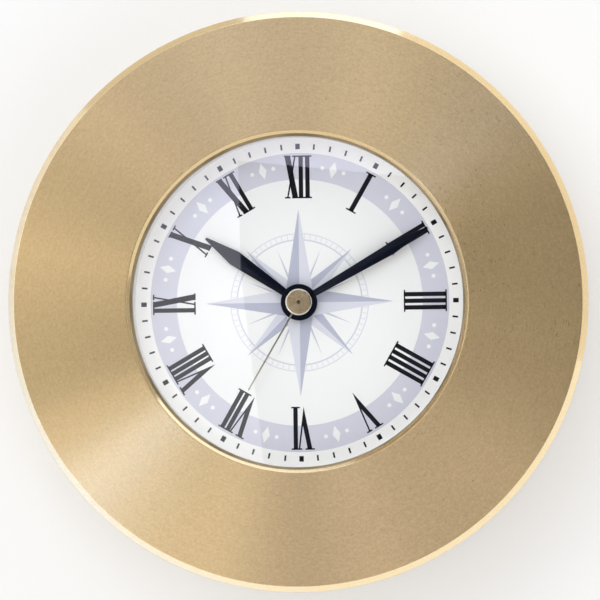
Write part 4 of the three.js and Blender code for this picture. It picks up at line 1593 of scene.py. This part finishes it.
@dataclass
class ModuleBack:
    """What shows in the recess of the base: retaining ring, screws, setting knob and battery cover."""

    ring_inner: float = 27.0
    ring_outer: float = 37.8
    ring_bottom: float = 5.0
    ring_top: float = 6.5
    ring_edges: tuple[float, float] = (0.25, 0.1)
    groove: float = 30.2
    groove_halves: tuple[float, float] = (0.4, 0.2)
    groove_depth: float = 0.25
    groove_edge: float = 0.06
    screw_circle: float = 34.8
    screw_head: float = 2.4
    screw_head_height: float = 1.4
    screw_shank: float = 1.25
    screw_grip: float = 7.0
    screw_crown: float = 1.92
    screw_brow: float = 0.63
    screw_edges: tuple[float, float, float, float] = (0.35, 0.3, 0.05, 0.2)
    screw_slit: tuple[float, float] = (0.6, 1.2)
    knob_at: Place = (6.0, 10.392)
    knob: float = 4.5
    knob_core: float = 4.25
    knob_bottom: float = 2.5
    knob_top: float = 6.1
    knob_dish: tuple[float, float] = (2.6, 3.0)
    knob_dish_depth: float = 0.35
    knob_edges: tuple[float, float, float] = (0.15, 0.35, 0.2)
    rib: float = 0.48
    rib_edge: float = 0.12
    rib_margins: tuple[float, float] = (0.25, 0.2)
    ribs: int = 18
    cover_at: Place = (-14.555, -12.213)
    cover: float = 7.6
    cover_bottom: float = 6.5
    cover_flange: float = 0.6
    cover_plug: float = 6.3
    cover_top: float = 8.6
    cover_edges: tuple[float, float, float] = (0.12, 0.05, 0.1)
    coin_slot: tuple[float, float, float] = (9.0, 1.6, 0.9)
    lug: tuple[float, float] = (5.8, 6.9)
    lug_bottom: float = 8.1
    lug_starts: tuple[float, float] = (-20.0, 160.0)
    lug_sweep: float = 40.0
    plus: tuple[float, float] = (1.5, 0.36)
    plus_reach: float = 4.0
    raised: float = 0.14
    sunk: float = 0.01
    arrow: float = 6.9
    arrow_half: float = 0.22
    arrow_barb: float = 0.75
    arrow_sweep: float = 60.0
    arrow_tip: float = 74.0
    pip: float = 0.5
    pip_sides: int = 16
    pip_gap: float = 1.2
    pips: tuple[float, float] = (10.0, 70.0)

    def moulded(self, *outlines: Outline) -> bpy.types.Mesh:
        """Low marks that stand out of the back."""
        return prisms(outlines, self.cover_bottom - self.raised, self.cover_bottom + self.sunk)

    def marks(self, array: RadialArray) -> None:
        """Moulds two arrows round the knob and two pips beside the cover, on the back of the housing.

        Args:
            array: Repeats a shape round the axis.
        """
        reach, half, barb, end = self.arrow, self.arrow_half, self.arrow_barb, self.arrow_sweep
        head = [spot(reach + barb, end), spot(reach, self.arrow_tip), spot(reach - barb, end)]
        plan = arc(reach + half, 0.0, end, 10) + head + arc(reach - half, end, 0.0, 10)
        arrows = array.copies(self.moulded(plan), PLASTIC_BLACK, 2)
        reaches = [spot(self.cover + self.pip_gap, angle) for angle in self.pips]
        pips = [circle(self.pip, self.pip_sides, at) for at in reaches]
        mesh = joined(shifted(arrows, self.knob_at), shifted(self.moulded(*pips), self.cover_at))
        Fitting(Body.WEIGHT, Slot.BLACK_PLASTIC).piece("moulded_marks", mesh, PLASTIC_BLACK)

    def ring(self, lathe: Lathe) -> None:
        """Turns the retaining ring.

        Args:
            lathe: Turns the profiles.
        """
        low, (wide, floor), (edge, back) = self.ring_bottom, self.groove_halves, self.ring_edges
        corners = [
            Corner(self.ring_inner, low, edge),
            Corner(self.groove - wide, low, self.groove_edge),
            Corner(self.groove - floor, low + self.groove_depth),
            Corner(self.groove + floor, low + self.groove_depth),
            Corner(self.groove + wide, low, self.groove_edge),
            Corner(self.ring_outer, low, edge),
            Corner(self.ring_outer, self.ring_top, back),
            Corner(self.ring_inner, self.ring_top, back),
        ]
        fitting = Fitting(Body.WEIGHT, Slot.STEEL, ("retaining_ring",))
        fitting.piece("retaining_ring_turned", lathe.mesh(corners), STEEL_TURNED)

    def slotted(self, lathe: Lathe, corners: Sequence[Corner], slit: Place, deep: float) -> bpy.types.Mesh:
        """Turns a head whose profile starts below its middle, and cuts a slit across its underside."""
        low, half = corners[0].z, deep / 2
        return carved(lathe.mesh(corners), prisms([rectangle(*slit)], low - half, low + half))

    def screws(self, array: RadialArray) -> None:
        """Makes one slotted screw and repeats it round the ring.

        Args:
            array: Repeats a shape round the axis.
        """
        seat, head, shank = self.ring_bottom, self.screw_head, self.screw_shank
        crown, foot = seat - self.screw_head_height, seat + self.screw_grip
        corners = [
            Corner(0.0, crown),
            Corner(self.screw_crown, crown, self.screw_edges[0]),
            Corner(head, crown + self.screw_brow, self.screw_edges[1]),
            Corner(head, seat, self.screw_edges[2]),
            Corner(shank, seat),
            Corner(shank, foot, self.screw_edges[3]),
            Corner(0.0, foot),
        ]
        wide, deep = self.screw_slit
        shape = shifted(self.slotted(Lathe(64, 4), corners, (3 * head, wide), deep), (0.0, self.screw_circle))
        fitting = Fitting(Body.WEIGHT, Slot.STEEL, ("ring_screw_1", "ring_screw_2", "ring_screw_3"))
        fitting.piece("ring_screws", array.copies(shape, STEEL_BRIGHT, 3), STEEL_BRIGHT)

    def knob_piece(self, array: RadialArray) -> None:
        """Makes the setting knob, with grips round its rim.

        Args:
            array: Repeats a shape round the axis.
        """
        low, high, dish = self.knob_bottom, self.knob_top, self.knob_bottom + self.knob_dish_depth
        corners = [
            Corner(0.0, dish),
            Corner(self.knob_dish[0], dish, self.knob_edges[0]),
            Corner(self.knob_dish[1], low, self.knob_edges[0]),
            Corner(self.knob_core, low, self.knob_edges[1]),
            Corner(self.knob_core, high, self.knob_edges[2]),
            Corner(0.0, high),
        ]
        core = Lathe(96, 4).mesh(corners)
        foot, head = low + self.rib_margins[0], high - self.rib_margins[1]
        grip = [
            Corner(0.0, foot),
            Corner(self.rib, foot, self.rib_edge),
            Corner(self.rib, head, self.rib_edge),
            Corner(0.0, head),
        ]
        rib = shifted(Lathe(16, 3).mesh(grip), (0.0, self.knob - self.rib))
        mesh = shifted(joined(core, array.copies(rib, PLASTIC_BLACK, self.ribs)), self.knob_at)
        fitting = Fitting(Body.SETTING, Slot.BLACK_PLASTIC, ("setting_knob",))
        fitting.piece("setting_knob_ribbed", mesh, PLASTIC_BLACK)

    def cover_piece(self) -> None:
        """Makes the battery cover with its coin slot, lugs, plus sign and pip."""
        low, shelf = self.cover_bottom, self.cover_bottom + self.cover_flange
        corners = [
            Corner(0.0, low),
            Corner(self.cover, low, self.cover_edges[0]),
            Corner(self.cover, shelf, self.cover_edges[1]),
            Corner(self.cover_plug, shelf),
            Corner(self.cover_plug, self.cover_top, self.cover_edges[2]),
            Corner(0.0, self.cover_top),
        ]
        length, wide, deep = self.coin_slot
        disc = self.slotted(Lathe(128, 4), corners, (length, wide), 2 * deep)
        inner, outer = self.lug
        lugs = []
        for start in self.lug_starts:
            end = start + self.lug_sweep
            lugs.append(arc(outer, start, end, 8) + arc(inner, end, start, 8))
        arm, half = self.plus
        plus: Outline = []
        quarter = [(half, half), (half, arm), (-half, arm)]
        for _ in range(4):
            plus += [(x, y + self.plus_reach) for x, y in quarter]
            quarter = [(-y, x) for x, y in quarter]
        pip = circle(self.pip, self.pip_sides, spot(self.cover - self.pip_gap, self.pips[0]))
        mesh = joined(disc, prisms(lugs, self.lug_bottom, self.cover_top), self.moulded(plus, pip))
        fitting = Fitting(Body.COVER, Slot.BLACK_PLASTIC, ("battery_cover",))
        fitting.piece("battery_cover_moulded", shifted(mesh, self.cover_at), PLASTIC_BLACK)

    def build(self, lathe: Lathe, array: RadialArray) -> None:
        """Makes everything in the recess.

        Args:
            lathe: The lathe to use.
            array: The tree that repeats screws and grips.
        """
        self.ring(lathe)
        self.screws(array)
        self.knob_piece(array)
        self.cover_piece()
        self.marks(array)


@dataclass
class Movement:
    """The inner pieces, whose CAD shapes stay."""

    finishes: dict[Finish, tuple[str, ...]] = field(default_factory=lambda: CAD_FINISHES)

    def dress(self, nodes: dict[str, bpy.types.Object]) -> None:
        """Gives each kept node its material.

        Args:
            nodes: The frame's nodes by name.
        """
        for finish, names in self.finishes.items():
            for name in names:
                for place in nodes[name].material_slots:
                    place.material = finish.material()
                LOG.info("%s: %s", name, finish.name)


COOL: Colour = (0.9, 1.0, 1.2)
MOON: Colour = (0.82, 1.0, 1.5)
WARM: Colour = (1.0, 0.99, 0.92)
PINK: Colour = (1.06, 1.0, 1.02)
PALE: Colour = (0.58, 0.71, 1.0)
HAZE: Colour = (0.95, 0.93, 0.98)
FROST: Colour = (0.57, 0.74, 1.18)
SLATE: Colour = (0.52, 0.56, 0.64)
DUSK_BLUE: Colour = (1.5, 1.5, 2.0)
HIGH_CARD = {"foot": 0.03, "height": 0.075}


@dataclass(frozen=True)
class Softbox:
    """A square area light aimed at the clock."""

    name: str
    azimuth: float
    width: float
    power: float
    tint: Colour
    height: float = 0.2
    elevation: float = 55.0
    distance: float = 0.3
    mirrored: bool = True
    lighting: bool = True

    def build(self, target: Vector) -> None:
        """Hangs the light.

        Args:
            target: The point that it faces.
        """
        lamp = bpy.data.lights.new(self.name, "AREA")
        lamp.shape = "RECTANGLE"
        lamp.size = self.width
        lamp.size_y = self.height
        lamp.energy = self.power
        lamp.color = self.tint
        holder = bpy.data.objects.new(self.name, lamp)
        holder.visible_glossy = self.mirrored
        holder.visible_diffuse = self.lighting
        bpy.context.scene.collection.objects.link(holder)
        rise = math.radians(self.elevation)
        away = Vector((*spot(math.cos(rise), self.azimuth), math.sin(rise)))
        holder.location = target + away * self.distance
        holder.rotation_euler = (-away).to_track_quat("-Z", "Y").to_euler()


@dataclass(frozen=True)
class FloorPaper(Finish):
    """Pale seamless paper, seen only from above; light passes it, so that the base is lit."""

    glow: float = 0.3

    def surface(self, graph: ShaderGraph) -> Sock:
        """A matt, faintly glowing paper whose back is clear.

        Args:
            graph: The material's empty tree.

        Returns:
            The shader's output.
        """
        paper = graph.principled(
            Base_Color=graph.toned(graph.noise(900.0, 3.0), self.colour, 0.995, 1.005),
            Roughness=0.9,
            Specular_IOR_Level=0.1,
        )
        white = graph.node("ShaderNodeEmission", None, {"Color": WHITE, "Strength": 1.0})
        clear = graph.node("ShaderNodeBsdfTransparent")
        back = graph.node("ShaderNodeNewGeometry", output="Backfacing")
        return graph.mixed(back, graph.mixed(self.glow, paper, white), clear)


@dataclass(frozen=True)
class CardGlow(Finish):
    """A glowing card, for reflections, that may change away from one heading."""

    strength: float
    away: Colour
    heading: float
    reach: float

    def surface(self, graph: ShaderGraph) -> Sock:
        """A glow of one colour at the heading and another away from it.

        Args:
            graph: The material's empty tree.

        Returns:
            The shader's output.
        """
        x, y, _ = graph.axes(graph.point())
        east, north = spot(1.0, self.heading)
        facing = (x * east + y * north) / self.reach
        near = facing.math("MAXIMUM", facing, 0.0) ** 2
        glow = graph.blend(near, self.away, self.colour)
        return graph.node("ShaderNodeEmission", None, {"Color": glow, "Strength": self.strength})

    def hang(self, bm: bmesh.types.BMesh) -> None:
        """Makes the card, seen by reflections alone.

        Args:
            bm: The card's shape, in place.
        """
        card = made_object(self.name, mesh_from(bm), self)
        for ray in ("camera", "diffuse", "shadow", "transmission"):
            setattr(card, f"visible_{ray}", False)


@dataclass(frozen=True)
class EdgeCard:
    """A low upright card that stands round the clock and shows in its bright edges."""

    name: str
    start: float
    end: float
    glow: float
    foot: float = 0.0
    height: float = 0.03
    colour: Colour = WHITE
    away: Colour = WHITE
    heading: float = 0.0
    distance: float = 0.24
    step: float = 3.0
    fewest_steps: int = 4

    def build(self) -> None:
        """Stands the card."""
        bm = bmesh.new()
        steps = max(self.fewest_steps, int((self.end - self.start) / self.step))
        posts = []
        for x, y in arc(self.distance, self.start, self.end, steps):
            posts.append([bm.verts.new((x, y, z)) for z in (self.foot, self.height)])
        for (low, high), (after_low, after_high) in zip(posts, posts[1:]):
            bm.faces.new((low, after_low, after_high, high))
        CardGlow(self.name, self.colour, self.glow, self.away, self.heading, self.distance).hang(bm)


@dataclass
class Studio:
    """Floor, sky, lights, reflecting cards and camera."""

    target: Vector = field(default_factory=lambda: Vector((0.00053, 0.00021, 0.026)))
    distance: float = 0.6
    lean_x: float = 3.4
    lean_y: float = -1.7
    roll: float = 0.75
    span: float = 0.10486
    sensor: float = 36.0
    sky_strength: float = 2.5
    sky_front: float = 0.6
    surround: tuple[tuple[float, float], ...] = (
        (-1.0, 0.75),
        (-0.02, 0.75),
        (0.0, 1.3),
        (0.45, 1.45),
        (0.62, 0.65),
        (0.8, 0.1),
        (1.0, 0.03),
    )
    backdrop: Colour = (0.97, 0.97, 0.965)
    paper: Colour = (0.84, 0.84, 0.835)
    paper_radius: float = 3.0
    paper_sides: int = 128
    paper_level: float = -0.00005
    glare: tuple[Place, ...] = (
        (-0.13, 0.13),
        (-0.13, -0.13),
        (-0.042, -0.13),
        (-0.0506, -0.0275),
        (-0.0568, 0.0275),
        (-0.0573, 0.0682),
        (0.005, 0.0613),
        (0.005, 0.13),
    )
    glare_level: float = 1.2
    glare_heading: float = 90.0
    glare_reach: float = 0.08
    glare_lift: float = 0.01
    lights: tuple[Softbox, ...] = (
        Softbox("back_light", 92.0, 0.15, 0.094, COOL),
        Softbox("corner_light", 126.0, 0.1, 0.039, COOL),
        Softbox("window_light", 153.0, 0.12, 0.071, WARM, lighting=False),
        Softbox("left_light", 181.0, 0.12, 0.096, WARM, lighting=False),
        Softbox("side_light", 205.0, 0.04, 0.04, WARM, lighting=False),
        Softbox("streak_light", 215.5, 0.034, 0.065, MOON, lighting=False),
        Softbox("low_light", 235.0, 0.08, 0.082, WARM, lighting=False),
        Softbox("front_light", 265.0, 0.12, 0.049, PINK),
        Softbox("near_light", 303.0, 0.17, 0.089, PINK),
        Softbox("fill_light", 130.0, 0.6, 2.5, WHITE, 0.6, 68.0, 0.8, mirrored=False),
        Softbox("bounce_light", 315.0, 0.6, 1.2, WHITE, 0.6, 60.0, 0.8, mirrored=False),
    )
    cards: tuple[EdgeCard, ...] = (
        EdgeCard("edge_card_top", 71.2, 102.4, 2.5, colour=PALE, away=PALE),
        EdgeCard("edge_card_gold", 102.4, 138.0, 0.67),
        EdgeCard("edge_card_round", 138.0, 348.0, 2.25, colour=FROST, away=SLATE, heading=192.0),
        EdgeCard("edge_card_side", 348.0, 431.2, 1.02),
        EdgeCard("edge_card_far", 38.0, 112.0, 1.5, colour=COOL, away=COOL, **HIGH_CARD),
        EdgeCard("edge_card_dim", 112.0, 142.0, 0.62, **HIGH_CARD),
        EdgeCard("edge_card_wide", 142.0, 352.0, 0.88, **HIGH_CARD),
        EdgeCard("edge_card_dusk", 352.0, 398.0, 0.42, **HIGH_CARD),
    )

    def sky(self) -> None:
        """A soft surround, darkest overhead and white behind the scene."""
        world = bpy.data.worlds.new("soft_surround")
        world.use_nodes = True
        bpy.context.scene.world = world
        graph = ShaderGraph(world.node_tree)
        _, back, rise = graph.axes(graph.node("ShaderNodeTexCoord", output="Generated"))
        stops = [((place + 1) / 2, tinted(WHITE, level / 2)) for place, level in self.surround]
        ramp = graph.node("ShaderNodeValToRGB", {"stops": stops}, {0: rise * 0.5 + 0.5})
        shade = graph.toned(back * 0.5 + 0.5, WHITE, self.sky_front, 1.0)
        multiply = {"data_type": "RGBA", "blend_type": "MULTIPLY"}
        light = graph.node("ShaderNodeMix", multiply, {0: 1.0, 6: ramp, 7: shade}, 2)
        lit = graph.node("ShaderNodeBackground", None, {"Color": light, "Strength": self.sky_strength})
        seen = graph.node("ShaderNodeBackground", None, {"Color": self.backdrop, "Strength": 1.0})
        camera = graph.node("ShaderNodeLightPath", output="Is Camera Ray")
        graph.node("ShaderNodeOutputWorld", None, {"Surface": graph.mixed(camera, lit, seen)})

    def floor(self) -> None:
        """Lays the paper under the clock, seen by the camera alone."""
        bm = bmesh.new()
        rim = circle(self.paper_radius, self.paper_sides)
        bm.faces.new([bm.verts.new((x, y, self.paper_level)) for x, y in rim])
        sheet = made_object("paper_floor", mesh_from(bm), FloorPaper("pale_paper", self.paper))
        for ray in ("diffuse", "glossy", "shadow"):
            setattr(sheet, f"visible_{ray}", False)

    def veil(self) -> None:
        """Hangs a bright card that the crystal mirrors along its left and upper sides."""
        level = self.target.z + self.distance + self.glare_lift
        bm = bmesh.new()
        bm.faces.new([bm.verts.new((x, y, level)) for x, y in self.glare])
        glow = (self.glare_level, HAZE, self.glare_heading, self.glare_reach)
        CardGlow("glare_card", DUSK_BLUE, *glow).hang(bm)

    def camera(self) -> None:
        """Sets the camera above the clock, a little to the right and below."""
        lens = bpy.data.cameras.new("view_camera")
        lens.sensor_width = self.sensor
        lens.lens = self.sensor * self.distance / self.span
        lens.clip_start = 0.01
        holder = bpy.data.objects.new("view_camera", lens)
        bpy.context.scene.collection.objects.link(holder)
        right_lean, up_lean, roll = (math.radians(turn) for turn in (self.lean_x, self.lean_y, self.roll))
        away = Vector((math.tan(right_lean), math.tan(up_lean), 1.0)).normalized()
        right = Vector((math.sin(roll), math.cos(roll), 0.0)).cross(away).normalized()
        turn = Matrix((right, away.cross(right), away)).transposed().to_4x4()
        holder.matrix_world = Matrix.Translation(self.target + away * self.distance) @ turn
        bpy.context.scene.camera = holder

    def build(self) -> None:
        """Sets up the whole studio."""
        self.sky()
        self.floor()
        self.veil()
        for card in self.cards:
            card.build()
        for light in self.lights:
            light.build(self.target)
        self.camera()
        bpy.context.scene.view_settings.view_transform = "Standard"


def main() -> None:
    """Builds the clock round its frame and sets up the studio."""
    logging.basicConfig(level=logging.INFO, format="%(name)s: %(message)s")
    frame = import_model()
    lathe = Lathe()
    array = RadialArray()
    Movement().dress(frame["nodes"])
    BrassWeight().build(lathe)
    FeltBase().build(lathe, FeltNap())
    CrystalStack().build(lathe)
    DialFace().build(lathe, array)
    HandSet().build(lathe)
    ModuleBack().build(lathe, array)
    Studio().build()


if __name__ == "__main__":
    main()
